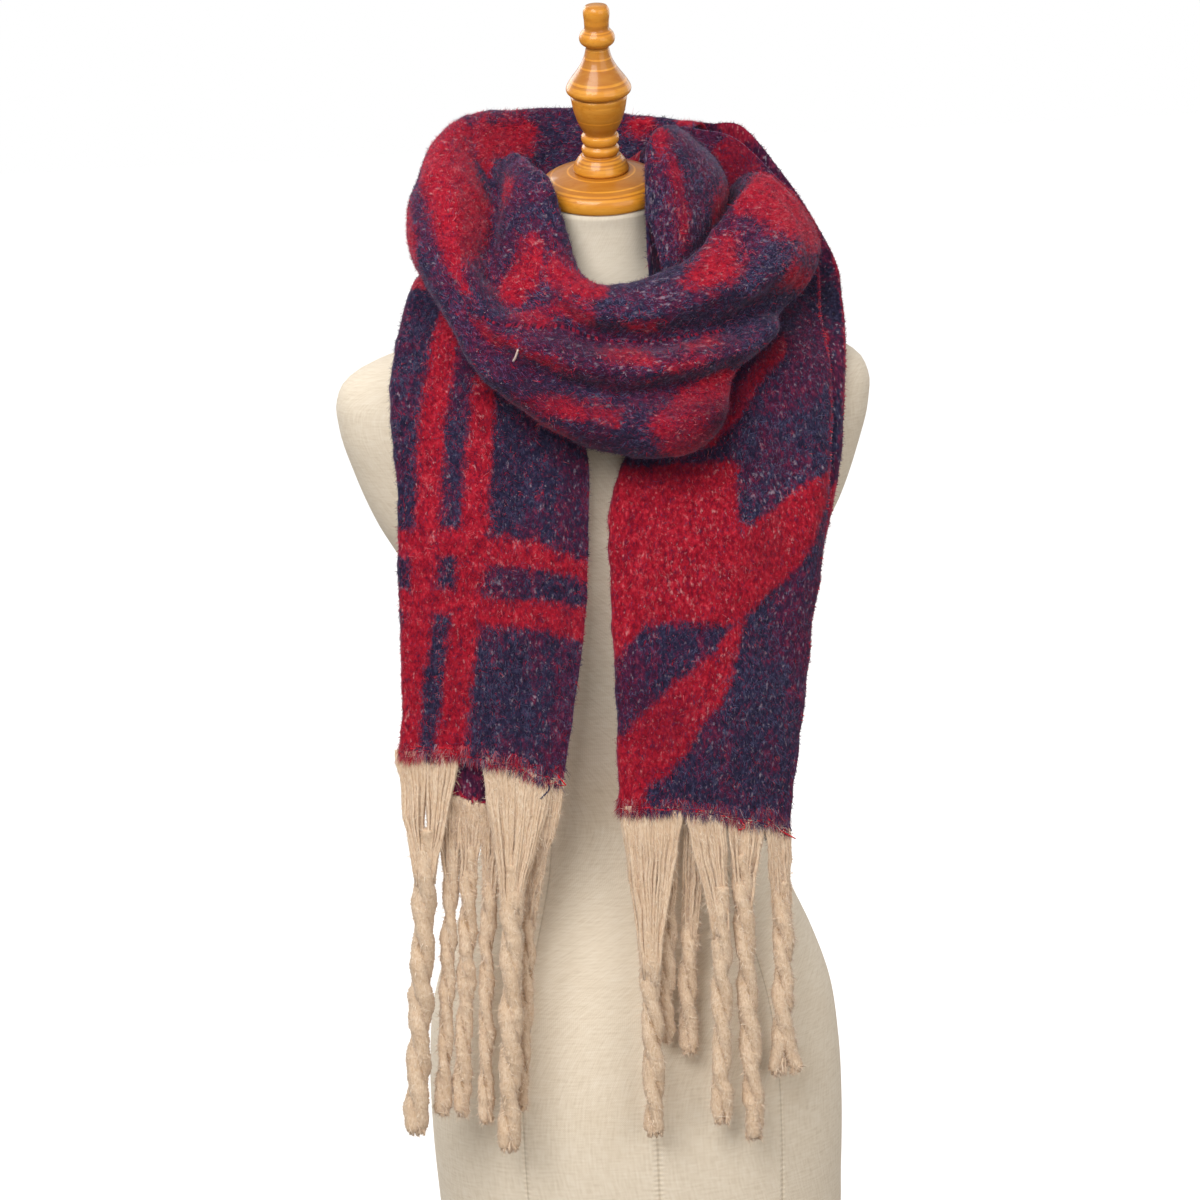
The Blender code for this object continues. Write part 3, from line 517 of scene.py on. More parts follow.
RIGHT_RED = (
    ((-0.30, 262), (0.075, 266.5), (0.188, 271), (0.363, 275), (0.45, 275), (0.463, 258), (0.48, 238), (0.513, 220),
     (0.575, 226), (0.65, 234), (0.80, 248), (0.938, 258), (1.02, 262), (0.98, 232), (0.93, 204), (0.863, 185),
     (0.788, 176), (0.713, 170.6), (0.65, 159), (0.575, 152), (0.525, 148), (0.375, 151), (0.15, 152), (0.10, 147),
     (0.025, 132.5), (-0.02, 120), (-0.30, 106)),
    ((0.575, 152), (0.55, 148), (0.488, 137), (0.463, 125), (0.388, 120), (0.288, 108.6), (0.20, 93), (0.088, 80),
     (0.0, 62), (-0.30, 48), (-0.30, -6), (0.10, 3), (0.15, 20), (0.238, 30), (0.288, 42), (0.363, 55),
     (0.438, 74.7), (0.513, 84.6), (0.537, 97), (0.56, 120), (0.60, 150)),
    ((0.20, 284), (0.30, 286), (0.38, 304), (0.50, 342), (0.64, 372), (0.60, 388), (0.44, 360), (0.28, 318)),
    ((0.66, 545), (0.76, 515), (0.95, 498), (1.06, 505), (1.06, 530), (0.92, 540), (0.78, 555)),
    ((0.20, 560), (0.36, 530), (0.50, 520), (0.46, 560), (0.30, 600)),
    ((-0.1, 470), (0.25, 452), (0.40, 426), (0.36, 404), (0.1, 420), (-0.1, 436)),
)
COWL_RED = (
    # outer left roll
    ((56, 4.95), (62, 4.45), (74, 4.2), (86, 4.15), (98, 4.3), (112, 4.45), (123, 4.6), (124, 5.2), (113, 5.62),
     (100, 5.95), (88, 5.95), (77, 5.85), (66, 5.75), (57, 5.5)),
    ((58, 5.1), (66, 5.2), (64, 5.75), (54, 5.6), (50, 5.1)),
    # lip of the cowl, left of the middle
    ((36, 2.75), (42, 2.95), (50, 3.4), (55, 3.9), (50, 4.25), (42, 4.1), (36, 3.6), (33, 3.1)),
    ((4, 2.15), (12, 2.0), (22, 2.35), (32, 2.75), (34, 3.2), (27, 3.3), (16, 2.85), (6, 2.55)),
    ((10, 2.95), (19, 3.15), (28, 3.6), (27, 4.05), (18, 3.8), (10, 3.4)),
    ((30, 3.8), (40, 4.4), (34, 4.55), (26, 4.2)),
    # lip, right of the middle, and the crest of the roll
    ((-22, 2.62), (-27, 2.36), (-36, 2.15), (-45, 2.1), (-50, 2.3), (-45, 2.55), (-38, 2.8), (-28, 2.9)),
    ((-55, 2.1), (-62, 1.85), (-70, 1.65), (-82, 1.65), (-92, 2.0), (-95, 2.7), (-84, 3.1), (-74, 3.1), (-65, 2.95), (-58, 2.6)),
    ((-56, 3.0), (-64, 3.2), (-72, 3.5), (-72, 3.8), (-60, 3.6), (-54, 3.25)),
    ((2, 3.2), (-6, 3.25), (-12, 3.35), (-10, 3.55), (-2, 3.5)),
    # second fold
    ((-4, 4.35), (0, 4.3), (9, 4.45), (9, 4.75), (-2, 4.9), (-8, 4.8)),
    ((-12, 4.85), (-20, 4.75), (-26, 4.95), (-20, 5.2), (-10, 5.15)),
    ((-32, 4.3), (-18, 4.35), (-19, 4.6), (-30, 4.65)),
    ((16, 5.1), (28, 5.0), (34, 5.3), (24, 5.5), (16, 5.4)),
    ((34, 4.9), (44, 5.3), (50, 5.9), (43, 5.9), (35, 5.3)),
    # bottom fold
    ((4, 6.55), (10, 6.35), (20, 6.45), (30, 6.9), (34, 7.3), (26, 7.3), (14, 6.95), (6, 6.9)),
    ((-3, 6.9), (-8, 6.6), (-15, 6.1), (-24, 5.88), (-34, 5.85), (-40, 6.3), (-38, 7.0), (-30, 7.7), (-18, 8.1), (-7, 7.7)),
    ((18, 7.5), (30, 7.5), (40, 7.7), (30, 8.0), (18, 7.9)),
    # over the left shoulder, towards the back
    ((74, 6.7), (84, 6.5), (98, 6.6), (106, 7.2), (98, 7.9), (82, 8.0), (74, 7.5)),
    ((66, 2.7), (74, 2.9), (86, 3.1), (84, 3.4), (72, 3.3), (64, 3.0)),
    # outer band behind the neck
    ((112, 3.9), (126, 4.0), (140, 3.7), (152, 3.9), (160, 4.4), (154, 4.8), (142, 4.7), (130, 4.75), (118, 4.7)),
    ((118, 5.75), (152, 5.70), (190, 5.75), (240, 5.70), (240, 6.05), (190, 6.12), (152, 6.05), (118, 6.1)),
    ((118, 6.95), (152, 7.00), (190, 6.95), (240, 7.0), (240, 7.42), (190, 7.40), (152, 7.45), (118, 7.3)),
    ((128, 4.9), (138, 4.9), (140, 6.5), (141, 8.6), (131, 8.6), (129, 6.5)),
    ((146, 4.9), (155, 4.9), (156, 6.5), (158, 8.6), (149, 8.6), (147, 6.5)),
    ((184, 5.0), (204, 5.0), (206, 6.4), (200, 6.9), (208, 8.6), (186, 8.6), (190, 6.8), (183, 6.3)),
    ((200, 4.3), (209, 4.2), (214, 4.5), (212, 4.9), (202, 4.8)),
    ((222, 4.5), (240, 4.4), (240, 5.2), (228, 5.3), (220, 4.9)),
    # over the right shoulder, towards the back
    ((-120, 2.2), (-104, 2.6), (-98, 3.4), (-104, 4.4), (-120, 4.8)),
)
BAND_RED = (
    ((-38, 0.7), (-43.5, 0.7), (-45.5, 1.9), (-44, 2.05), (-39, 2.0)),
    ((-35, 2.3), (-45, 2.2), (-50, 2.5), (-47, 3.0), (-36, 2.95)),
    ((-60, 0.4), (-78, 0.5), (-84, 0.9), (-72, 1.15), (-60, 0.95)),
    ((-96, 1.6), (-120, 1.4), (-124, 2.2), (-104, 2.5), (-94, 2.2)),
    ((-140, 2.6), (-168, 2.5), (-172, 3.4), (-150, 3.8), (-138, 3.4)),
    ((-176, 0.8), (-220, 0.6), (-220, 1.8), (-180, 2.0)),
)


def red_field(outlines, x, y, wide, high):
    """Millimetres inside the red; x and y are scaled to millimetres by wide and high."""
    out = np.full(np.shape(x), -1e9)
    for outline in outlines:
        out = np.maximum(out, inside(x * wide, y * high, [(a * wide, b * high) for a, b in outline]))
    return out


# ------------------------------------------------------------------- creases
# Soft folds, given one by one: the places they pass, how deep (a ridge is negative)
# and how wide, in millimetres. Places are as for the pattern's outlines.
WOUND_CREASES = (
    (((-52, 1.9), (-44, 2.6), (-34, 3.2), (-24, 3.5)), 2.6, 7),
    (((-60, 2.3), (-50, 2.9), (-40, 3.45)), -1.8, 7),
    (((-72, 1.8), (-70, 2.7), (-62, 3.5)), 1.6, 8),
    (((-92, 2.6), (-86, 3.6), (-70, 4.3)), 2.0, 8),
    (((-14, 2.2), (2, 2.6), (20, 3.2), (34, 3.9)), -1.0, 8),
    (((22, 2.4), (30, 3.1), (40, 3.9), (52, 4.6)), 2.0, 8),
    (((48, 3.0), (54, 3.9), (60, 4.8), (60, 5.8)), 1.6, 7),
    (((-30, 4.4), (-14, 4.6), (4, 4.55), (18, 4.7)), -1.0, 8),
    (((-34, 5.2), (-22, 4.95), (-10, 5.0)), 1.6, 6),
    (((8, 5.1), (22, 5.2), (36, 5.6)), 1.5, 7),
    (((-32, 6.4), (-22, 6.7), (-10, 7.3)), 1.9, 7),
    (((-26, 5.9), (-14, 6.6), (-4, 7.1)), -1.3, 7),
    (((2, 6.3), (14, 6.7), (26, 7.2)), 1.4, 6),
    (((10, 7.6), (26, 7.4), (42, 7.2)), -1.0, 8),
    (((66, 4.6), (78, 4.7), (90, 4.9), (104, 5.2)), 1.7, 8),
    (((70, 5.8), (84, 6.0), (98, 6.2), (112, 6.1)), 2.2, 9),
    (((62, 6.6), (76, 6.9), (92, 7.2)), -1.6, 9),
    (((80, 2.2), (92, 2.6), (104, 2.9)), 1.4, 6),
    (((108, 7.4), (124, 6.9), (142, 6.6), (158, 6.6)), 2.6, 10),
    (((126, 5.7), (146, 5.9), (170, 6.1), (188, 6.0)), 1.8, 8),
    (((150, 7.3), (172, 7.1), (196, 7.3), (214, 7.1)), 2.8, 11),
    (((160, 6.6), (184, 6.7), (206, 6.5)), -1.6, 9),
    (((190, 5.5), (206, 5.7), (226, 6.2)), 1.9, 9),
    (((204, 7.6), (218, 7.2), (230, 6.6)), 2.0, 9),
    (((118, 4.2), (140, 4.4), (160, 4.3)), 1.0, 6),
    (((176, 4.5), (196, 4.3), (220, 4.5)), 1.2, 6),
)
LEFT_CREASES = (
    (((0.60, 400), (0.62, 330), (0.66, 240), (0.64, 160)), 1.9, 11),
    (((0.36, 380), (0.40, 300), (0.44, 200), (0.42, 90)), -1.5, 12),
    (((0.16, 330), (0.20, 250), (0.19, 150)), 1.3, 9),
    (((0.84, 300), (0.86, 210), (0.83, 120), (0.86, 40)), -1.3, 9),
    (((0.30, 120), (0.28, 50), (0.31, 0)), 1.3, 9),
    (((0.70, 90), (0.73, 40), (0.70, 0)), 1.5, 9),
    (((0.1, 480), (0.5, 470), (0.9, 455)), 2.0, 12),
    (((0.2, 440), (0.6, 425), (1.0, 400)), -1.4, 10),
    (((-1.6, 300), (-1.55, 200), (-1.6, 90)), 1.6, 12),
    (((-1.2, 420), (-1.3, 260), (-1.2, 100)), -1.4, 12),
)
RIGHT_CREASES = (
    (((0.66, 330), (0.72, 260), (0.76, 170), (0.74, 90)), 2.4, 13),
    (((0.50, 280), (0.54, 200), (0.52, 110)), -1.7, 13),
    (((0.90, 300), (0.92, 200), (0.90, 110)), -1.5, 9),
    (((0.24, 240), (0.22, 160), (0.26, 70)), 1.5, 11),
    (((0.10, 270), (0.09, 200), (0.10, 120)), -1.1, 8),
    (((0.36, 90), (0.38, 40), (0.37, 0)), 1.4, 9),
    (((0.68, 70), (0.66, 30), (0.68, 0)), 1.3, 8),
    (((0.30, 400), (0.46, 350), (0.60, 310)), 2.2, 12),
    (((0.60, 440), (0.78, 380), (0.86, 320)), -1.8, 12),
    (((0.2, 500), (0.6, 480), (0.96, 450)), 1.8, 11),
    (((-1.6, 380), (-1.5, 260), (-1.55, 120)), 1.8, 13),
    (((-1.25, 440), (-1.35, 300), (-1.3, 150)), -1.4, 12),
)


def folded(cloth, places_x, places_y, creases, wide, high, keep):
    """Moves the cloth along its normal at the listed creases and by soft waves."""
    grid, normal = cloth["grid"], cloth["normal"]
    flat_x, flat_y = places_x * wide, places_y * high
    push = np.zeros(grid.shape[:2])
    for path, deep, across in creases:
        steps = np.linspace(0, len(path) - 1, 4 * len(path))
        line = through(np.arange(len(path)), np.array(path, float) * (wide, high), steps)
        # each place of the path is looked up on the cloth itself
        spots = []
        for a, b in line:
            k = np.argmin((flat_x - a) ** 2 + (flat_y - b) ** 2)
            spots.append(grid.reshape(-1, 3)[k])
        far, place = near_line(grid, spots)
        near = np.hypot(flat_x - line[:, 0].mean(), flat_y - line[:, 1].mean()) < 160
        taper = ramp(place, 0.0, 0.28) * ramp(1 - place, 0.0, 0.28)
        push -= deep / 1000 * taper * near * np.exp(-((far / (across / 1000)) ** 2))
    push += 0.0009 * waves(grid, 0.095, 3) + 0.0005 * waves(grid, 0.034, 4)
    push += 0.00024 * waves(grid, 0.013, 5) + 0.00016 * waves(grid, 0.0065, 6)
    cloth["grid"] = grid + normal * (push * keep)[..., None]
    cloth["normal"] = normals_of(cloth["grid"], cloth["facing"])
    return cloth


def new_cloth(grid, facing, normal=None):
    return dict(
        grid=grid, facing=facing, flip=facing < 0,
        normal=normals_of(grid, facing) if normal is None else normal,
    )


def wound_cloth(rows, facing, outlines, creases, first, last, high, keep=1.0):
    """The cloth round the neck, evenly meshed, with its pattern."""
    knots = len(rows[0]) - 2
    rough = round_the_neck(rows, np.linspace(first, last, 150), np.linspace(0, knots, 120))
    u = evenly(np.linalg.norm(np.diff(rough, axis=1), axis=-1).mean(0), STEP) * knots
    turns = first + (last - first) * evenly(np.linalg.norm(np.diff(rough, axis=0), axis=-1).max(1) * 0.9, STEP)
    grid = round_the_neck(rows, turns, u)
    near = 0.4
    ahead, behind = round_the_neck(rows, turns + near, u), round_the_neck(rows, turns - near, u)
    normal = smoothed(unit(np.cross(ahead - behind, np.gradient((ahead + behind) / 2, axis=1))) * facing, 2)
    cloth = new_cloth(grid, facing, unit(normal))
    turn, knot = np.meshgrid(turns, u, indexing="ij")
    cloth["red"] = red_field(outlines, turn, knot, 2.3, high)
    cloth = folded(cloth, turn, knot, creases, 2.3, high, keep)
    step = np.linalg.norm(np.diff(cloth["grid"], axis=1), axis=-1)
    weft = np.concatenate([np.zeros((len(turns), 1)), np.cumsum(step, 1)], 1)
    warp = np.broadcast_to(np.radians(turns)[:, None] * 0.13, weft.shape)
    cloth["flat"] = np.stack([weft, warp, np.zeros_like(weft)], -1)
    cloth["turn"], cloth["knot"] = turn, knot
    cloth["mix"] = np.zeros_like(turn)
    cloth["pale"] = np.zeros_like(turn)
    cloth["hem"] = np.full_like(turn, 60.0)
    cloth["seam"] = np.full_like(turn, 60.0)
    return cloth


def bump_at(x, y, middle, spread):
    """1 at a place, fading over its spread in x and y."""
    return np.exp(-(((x - middle[0]) / spread[0]) ** 2) - (((y - middle[1]) / spread[1]) ** 2))


def build_wound():
    cloth = wound_cloth(COWL, 1, COWL_RED, WOUND_CREASES, -108, 230, 28)
    turn, knot = cloth["turn"], cloth["knot"]
    # the selvage that lies along the first crease: a low step with a thread line
    path = np.array(((-110, 4.2), (-30, 4.2), (-18, 4.1), (0, 4.0), (20, 4.12), (35, 4.55), (47, 5.2), (60, 5.6), (240, 5.6)))
    line = np.interp(turn, *path.T) + 0.03 * np.sin(np.radians(turn * 7.3 + 40))
    shown = ramp(turn, -42, -26) * ramp(-turn, -50, -36)
    away = (knot - line) * 24
    step = 0.0011 * np.exp(-((away / 7) ** 2)) * np.tanh(-away / 1.6) * shown
    cloth["grid"] = cloth["grid"] + cloth["normal"] * step[..., None]
    cloth["normal"] = normals_of(cloth["grid"])
    cloth["seam"] = np.where(shown > 0.2, away, 60.0)
    mix = 0.55 * bump_at(turn, knot, (8, 4.8), (48, 0.9)) + 0.30 * bump_at(turn, knot, (14, 3.2), (22, 0.7))
    mix += 0.35 * bump_at(turn, knot, (-14, 6.6), (26, 0.9))
    mix += 0.45 * bump_at(turn, knot, (70, 6.1), (40, 0.5))  # violet rim of the left roll
    mix += 0.35 * bump_at(turn, knot, (-52, 2.1), (10, 0.5))
    mix += 0.30 * bump_at(turn, knot, (150, 5.0), (50, 0.35))
    mix += 0.35 * bump_at(turn, knot, (40, 6.6), (14, 0.8))
    mix += 0.30 * bump_at(turn, knot, (60, 2.8), (20, 0.9))
    cloth["mix"] = mix
    pale = 0.9 * bump_at(turn, knot, (10, 4.6), (26, 0.45))
    pale += 0.7 * bump_at(turn, knot, (-6, 2.7), (14, 0.4)) + 0.6 * bump_at(turn, knot, (-46, 2.6), (10, 0.5))
    pale += 0.5 * bump_at(turn, knot, (8, 6.9), (20, 0.4)) + 0.4 * bump_at(turn, knot, (-20, 7.0), (12, 0.5))
    pale += 0.6 * bump_at(turn, knot, (46, 2.7), (14, 0.7)) + 0.5 * bump_at(turn, knot, (86, 4.6), (30, 0.8))
    cloth["pale"] = pale
    spots = (  # painted shade in the undersides of the folds: x, z, reach in mm, how much, 1 in front of the form
        (52, 699, 22, 0.60, 1), (-79, 727, 28, 0.80, 1), (-24, 692, 34, 0.50, 1), (-36, 759, 24, 0.40, 1),
        (70, 702, 15, 0.80, 1), (-24, 918, 30, 0.25, -1),
    )
    cloth["painted_shade"] = sum(near_spot(cloth["grid"], *spot) for spot in spots)
    # painted highlight at the end of the roll
    cloth["painted_highlight"] = near_spot(cloth["grid"], 138, 848, 34, 1.4, 1)
    # paler slate wool with painted sheen of the fuzz
    cloth["slate_and_sheen"] = near_spot(cloth["grid"], 14, 803, 30, 0.7, 1) + near_spot(cloth["grid"], 134, 800, 24, 0.9, 1)
    return cloth


def near_spot(grid, x, z, reach, much, front):
    away = np.hypot(grid[..., 0] * 1000 - x, grid[..., 2] * 1000 - z)
    return much * np.exp(-((away / reach) ** 2)) * (grid[..., 1] * front < 0)


def build_inner():
    cloth = wound_cloth(BAND, -1, BAND_RED, (), -215, -28.5, 30, 0.35)
    turn, knot = cloth["turn"], cloth["knot"]
    cloth["pale"] = 1.0 * bump_at(turn, knot, (-31, 2.0), (4, 1.6)) + 0.8 * bump_at(turn, knot, (-46, 0.8), (10, 0.5))
    cloth["pale"] += 0.5 * bump_at(turn, knot, (-60, 1.7), (16, 0.6))
    # paler slate wool with painted sheen of the fuzz
    cloth["slate_and_sheen"] = near_spot(cloth["grid"], 69, 883, 24, 1.0, 1) + near_spot(cloth["grid"], 62, 836, 22, 0.5, 1)
    cloth["mix"] = 0.4 * bump_at(turn, knot, (-60, 1.4), (16, 0.7)) + 0.55 * bump_at(turn, knot, (-38, 1.6), (7, 1.1))
    return cloth


def folded_tail(front_rows, back_rows, outlines, creases, hem_drop, facing, seed):
    """One continuous cloth: the layer behind, round the fold, and the layer in front."""
    length = np.linalg.norm(np.diff(np.array(front_rows, float)[:, 1], axis=0), axis=1).sum() / 1000
    share = np.linspace(-0.022 if back_rows else 0.0, 1, int(length / STEP) + 1)
    wide = np.linalg.norm(np.diff(np.array(front_rows[8], float), axis=0), axis=1).sum() / 1000
    t = np.linspace(0, 1, int(wide / STEP) + 1)
    uneven = lambda place: 0.0012 * np.sin(place * 9 + seed) + 0.0008 * np.sin(place * 23 + 2 * seed)
    front, run = along_the_tail(front_rows, share, t, uneven(t))
    back_t = np.linspace(0.97, 0.05, int(0.92 * wide / STEP) + 1)
    if back_rows is None:
        lower = hem_drop * ramp(back_t, 0.03, 0.30) + uneven(back_t + 2)
        behind, _ = along_the_tail(front_rows, share, back_t, lower)
        behind = behind + normals_of(behind) * LAYERS  # its columns run the other way
    else:
        lower = uneven(back_t + 2)
        behind, _ = along_the_tail(back_rows, share, back_t, lower)
    normal = normals_of(front)
    outward = front[:, 0] - front[:, 1]
    outward -= (outward * normal[:, 0]).sum(-1, keepdims=True) * normal[:, 0]
    outward = unit(outward)
    r = LAYERS / 2
    turned = np.stack(
        [
            front[:, 0] + outward * r * math.sin(a) - normal[:, 0] * r * (1 - math.cos(a))
            for a in np.linspace(math.pi, 0, 6)[:-1]
        ],
        1,
    )
    grid = np.concatenate([behind, turned, front], 1)
    column = np.concatenate([-0.1 - back_t, np.linspace(-0.1, 0, 6)[:-1], t])
    drop = np.concatenate([lower, np.zeros(5), uneven(t)])
    x = np.broadcast_to(column, grid.shape[:2])
    up = (run + drop)[None, :] * (1 - share)[:, None] - drop[None, :]
    y = up * 1000
    cloth = new_cloth(grid, facing)
    cloth["normal"] = unit(smoothed(cloth["normal"], 2))
    pattern_x = np.where(x < -0.1, -0.1 - (x + 0.1) * 0.9, x)  # the layer behind repeats the pattern
    cloth["red"] = red_field(outlines, pattern_x, y, TAIL_WIDE, 1.0)
    keep = np.where(x < -0.1, 0.45, 0.8 + 0.2 * ramp(np.abs(x), 0.0, 0.1)) * np.where(y > 330, 0.55, 1.0)
    cloth = folded(cloth, x, y, creases, TAIL_WIDE, 1.0, keep)
    step = np.linalg.norm(np.diff(cloth["grid"], axis=1), axis=-1).mean(0)
    weft = np.broadcast_to(np.concatenate([[0], np.cumsum(step)]), x.shape)
    cloth["flat"] = np.stack([weft, up, np.zeros_like(up)], -1)
    cloth["column"], cloth["above"] = x, y
    cloth["hem"] = (run + drop)[None, :] * (1 - share)[:, None] * 1000
    cloth["mix"], cloth["pale"], cloth["seam"] = np.zeros_like(x), np.zeros_like(x), np.full_like(x, 60.0)
    return cloth


def build_left():
    cloth = folded_tail(LEFT, None, LEFT_RED, LEFT_CREASES, 0.037, 1, 0.4)
    x, y = cloth["column"], cloth["above"]
    faint = inside(x * TAIL_WIDE, y, [(a * TAIL_WIDE, b) for a, b in ((0.86, 128), (0.90, 128), (0.99, 40), (0.99, 10), (0.90, 10), (0.86, 60))])
    cloth["mix"] = 0.55 * ramp(faint, -3, 3) + 0.55 * ramp(x, 0.955, 0.99) + 0.25 * bump_at(x, y, (0.0, 130), (0.1, 60))
    cloth["mix"] += 0.35 * bump_at(x, y, (0.72, 142), (0.3, 14)) + 0.3 * bump_at(x, y, (0.0, 330), (0.12, 40))
    cloth["pale"] = 0.7 * bump_at(x, y, (0.6, 140), (0.25, 12)) + 0.5 * bump_at(x, y, (0.65, 70), (0.2, 26)) + 0.3 * bump_at(x, y, (0.6, 230), (0.2, 30))
    cloth["pale"] += 0.35 * ramp(-y, -16, -2)
    # paler slate wool with painted sheen of the fuzz
    cloth["slate_and_sheen"] = near_spot(cloth["grid"], -168, 745, 36, 0.9, 1) + near_spot(cloth["grid"], -93, 500, 50, 0.8, 1)
    behind = ramp(-x, 0.25, 0.35) * ramp(-y, -60, -30)  # dull where the layer behind hangs lower
    cloth["red"] = cloth["red"] * (1 - behind) - 12 * behind
    cloth["mix"] += 0.8 * behind
    return cloth


def build_right():
    cloth = folded_tail(RIGHT_FRONT, RIGHT_BACK, RIGHT_RED, RIGHT_CREASES, 0, 1, 1.9)
    x, y = cloth["column"], cloth["above"]
    edge = (1 - x) * TAIL_WIDE  # distance from the open edge of the front layer
    rim = np.where(x > 0, edge, 60.0)
    rim = np.where(x < -0.1, (x + 1.07) * TAIL_WIDE, rim)
    cloth["rim"] = rim
    cloth["mix"] = 0.65 * ramp(-rim, -5, -2) + 0.30 * bump_at(x, y, (0.95, 110), (0.08, 70)) + 0.35 * bump_at(x, y, (0.03, 110), (0.06, 30))
    cloth["mix"] += 0.30 * bump_at(x, y, (0.2, 120), (0.2, 14)) + 0.30 * bump_at(x, y, (0.45, 345), (0.4, 55))
    cloth["mix"] += 0.8 * ramp(y, 455, 485)
    cloth["pale"] = 0.6 * bump_at(x, y, (0.62, 250), (0.2, 40)) + 0.5 * bump_at(x, y, (0.25, 190), (0.25, 30)) + 0.35 * bump_at(x, y, (0.6, 70), (0.3, 40))
    selvage = np.where((y > 300) & (y < 450), 1.6 - rim, -60)
    cloth["red"] = np.maximum(cloth["red"], np.minimum(selvage * 1.6, 0.5))
    # painted shadow where the cowl overhangs it, and painted shade at two more spots
    place = cloth["grid"][..., [0, 2]] * 1000
    side = near_line(place, ((136, 806), (128, 786), (121, 759), (108, 746), (91, 734), (83, 710)))[0]
    foot = near_line(place, ((83, 710), (76, 686), (60, 668), (31, 661), (5, 665)))[0]
    painted_shade = np.maximum(0.98 * np.exp(-((side / 19) ** 2)), 0.60 * np.exp(-((foot / 11) ** 2))) * (x > -0.1)
    # paler slate wool with painted sheen of the fuzz
    cloth["slate_and_sheen"] = near_spot(cloth["grid"], 105, 483, 50, 0.9, 1) + near_spot(cloth["grid"], 118, 685, 55, 0.9, 1)
    painted_shade += near_spot(cloth["grid"], 17, 476, 34, 0.40, 1)
    cloth["painted_shade"] = painted_shade + near_spot(cloth["grid"], 121, 882, 24, 0.65, -1)
    return cloth


# ----------------------------------------------------------------- materials
class Nodes:
    """A material and short ways to add nodes to it."""

    def __init__(self, name, roughness=0.9, **settings):
        self.material = bpy.data.materials.new(name)
        self.material.use_nodes = True
        self.tree = self.material.node_tree
        self.shader = self.tree.nodes["Principled BSDF"]
        self.shader.inputs["Roughness"].default_value = roughness
        for key, value in settings.items():
            self.shader.inputs[key.replace("_", " ")].default_value = value

    def node(self, kind, inputs=None, **settings):
        made = self.tree.nodes.new(kind)
        for key, value in settings.items():
            setattr(made, key, value)
        for key, value in (inputs or {}).items():
            self.put(made.inputs[key], value)
        return made

    def put(self, socket, value):
        if isinstance(value, bpy.types.NodeSocket):
            self.tree.links.new(value, socket)
        else:
            socket.default_value = value

    def attribute(self, name, vector=False):
        return self.node("ShaderNodeAttribute", attribute_name=name).outputs["Vector" if vector else "Fac"]

    def math(self, operation, a, b=0.0, c=None, clamp=False):
        made = self.node("ShaderNodeMath", operation=operation, use_clamp=clamp)
        self.put(made.inputs[0], a)
        self.put(made.inputs[1], b)
        if c is not None:
            self.put(made.inputs[2], c)
        return made.outputs[0]

    def scaled(self, vector, by, shift=(0, 0, 0)):
        made = self.node("ShaderNodeVectorMath", operation="MULTIPLY_ADD")
        self.put(made.inputs[0], vector)
        made.inputs[1].default_value = by
        made.inputs[2].default_value = shift
        return made.outputs[0]

    def noise(self, vector, detail=2.0, rough=0.5, distortion=0.0):
        made = self.node("ShaderNodeTexNoise", {"Vector": vector, "Scale": 1.0, "Detail": detail, "Roughness": rough, "Distortion": distortion})
        return made.outputs["Fac"]

    def step(self, value, low, high, to_low=0.0, to_high=1.0):
        made = self.node("ShaderNodeMapRange", {"Value": value, "From Min": low, "From Max": high, "To Min": to_low, "To Max": to_high}, interpolation_type="SMOOTHSTEP")
        return made.outputs[0]

    def blend(self, factor, a, b, kind="MIX"):
        made = self.node("ShaderNodeMix", data_type="RGBA", blend_type=kind)
        for socket, value in ((made.inputs[0], factor), (made.inputs[6], a), (made.inputs[7], b)):
            if isinstance(value, tuple):
                value = (*value, 1.0) if len(value) == 3 else value
            self.put(socket, value)
        return made.outputs[2]

    def stops(self, factor, *stops):
        made = self.node("ShaderNodeValToRGB", {"Fac": factor})
        elements = made.color_ramp.elements
        while len(elements) < len(stops):
            elements.new(0.5)
        for element, (place, colour) in zip(elements, stops):
            element.position, element.color = place, (*colour, 1.0)
        return made.outputs["Color"]

    def bump(self, height, strength, distance, normal=None):
        made = self.node("ShaderNodeBump", {"Height": height, "Strength": strength, "Distance": distance})
        if normal is not None:
            self.put(made.inputs["Normal"], normal)
        return made.outputs["Normal"]

    def finish(self, colour=None, normal=None, **linked):
        if colour is not None:
            self.put(self.shader.inputs["Base Color"], colour)
        if normal is not None:
            self.put(self.shader.inputs["Normal"], normal)
        for key, value in linked.items():
            self.put(self.shader.inputs[key.replace("_", " ")], value)
        return self.material


# darkest to palest of each colour of the cloth
RED_STOPS = ((0.30, (0.15, 0.004, 0.016)), (0.43, (0.29, 0.007, 0.020)), (0.55, (0.40, 0.012, 0.028)), (0.67, (0.47, 0.030, 0.048)), (0.78, (0.52, 0.10, 0.12)))
NAVY_STOPS = ((0.28, (0.010, 0.008, 0.021)), (0.42, (0.017, 0.014, 0.038)), (0.55, (0.027, 0.024, 0.058)), (0.67, (0.045, 0.046, 0.092)), (0.80, (0.10, 0.10, 0.165)))
PURPLE_STOPS = ((0.30, (0.026, 0.006, 0.022)), (0.46, (0.052, 0.010, 0.034)), (0.60, (0.090, 0.016, 0.050)), (0.76, (0.155, 0.052, 0.100)))


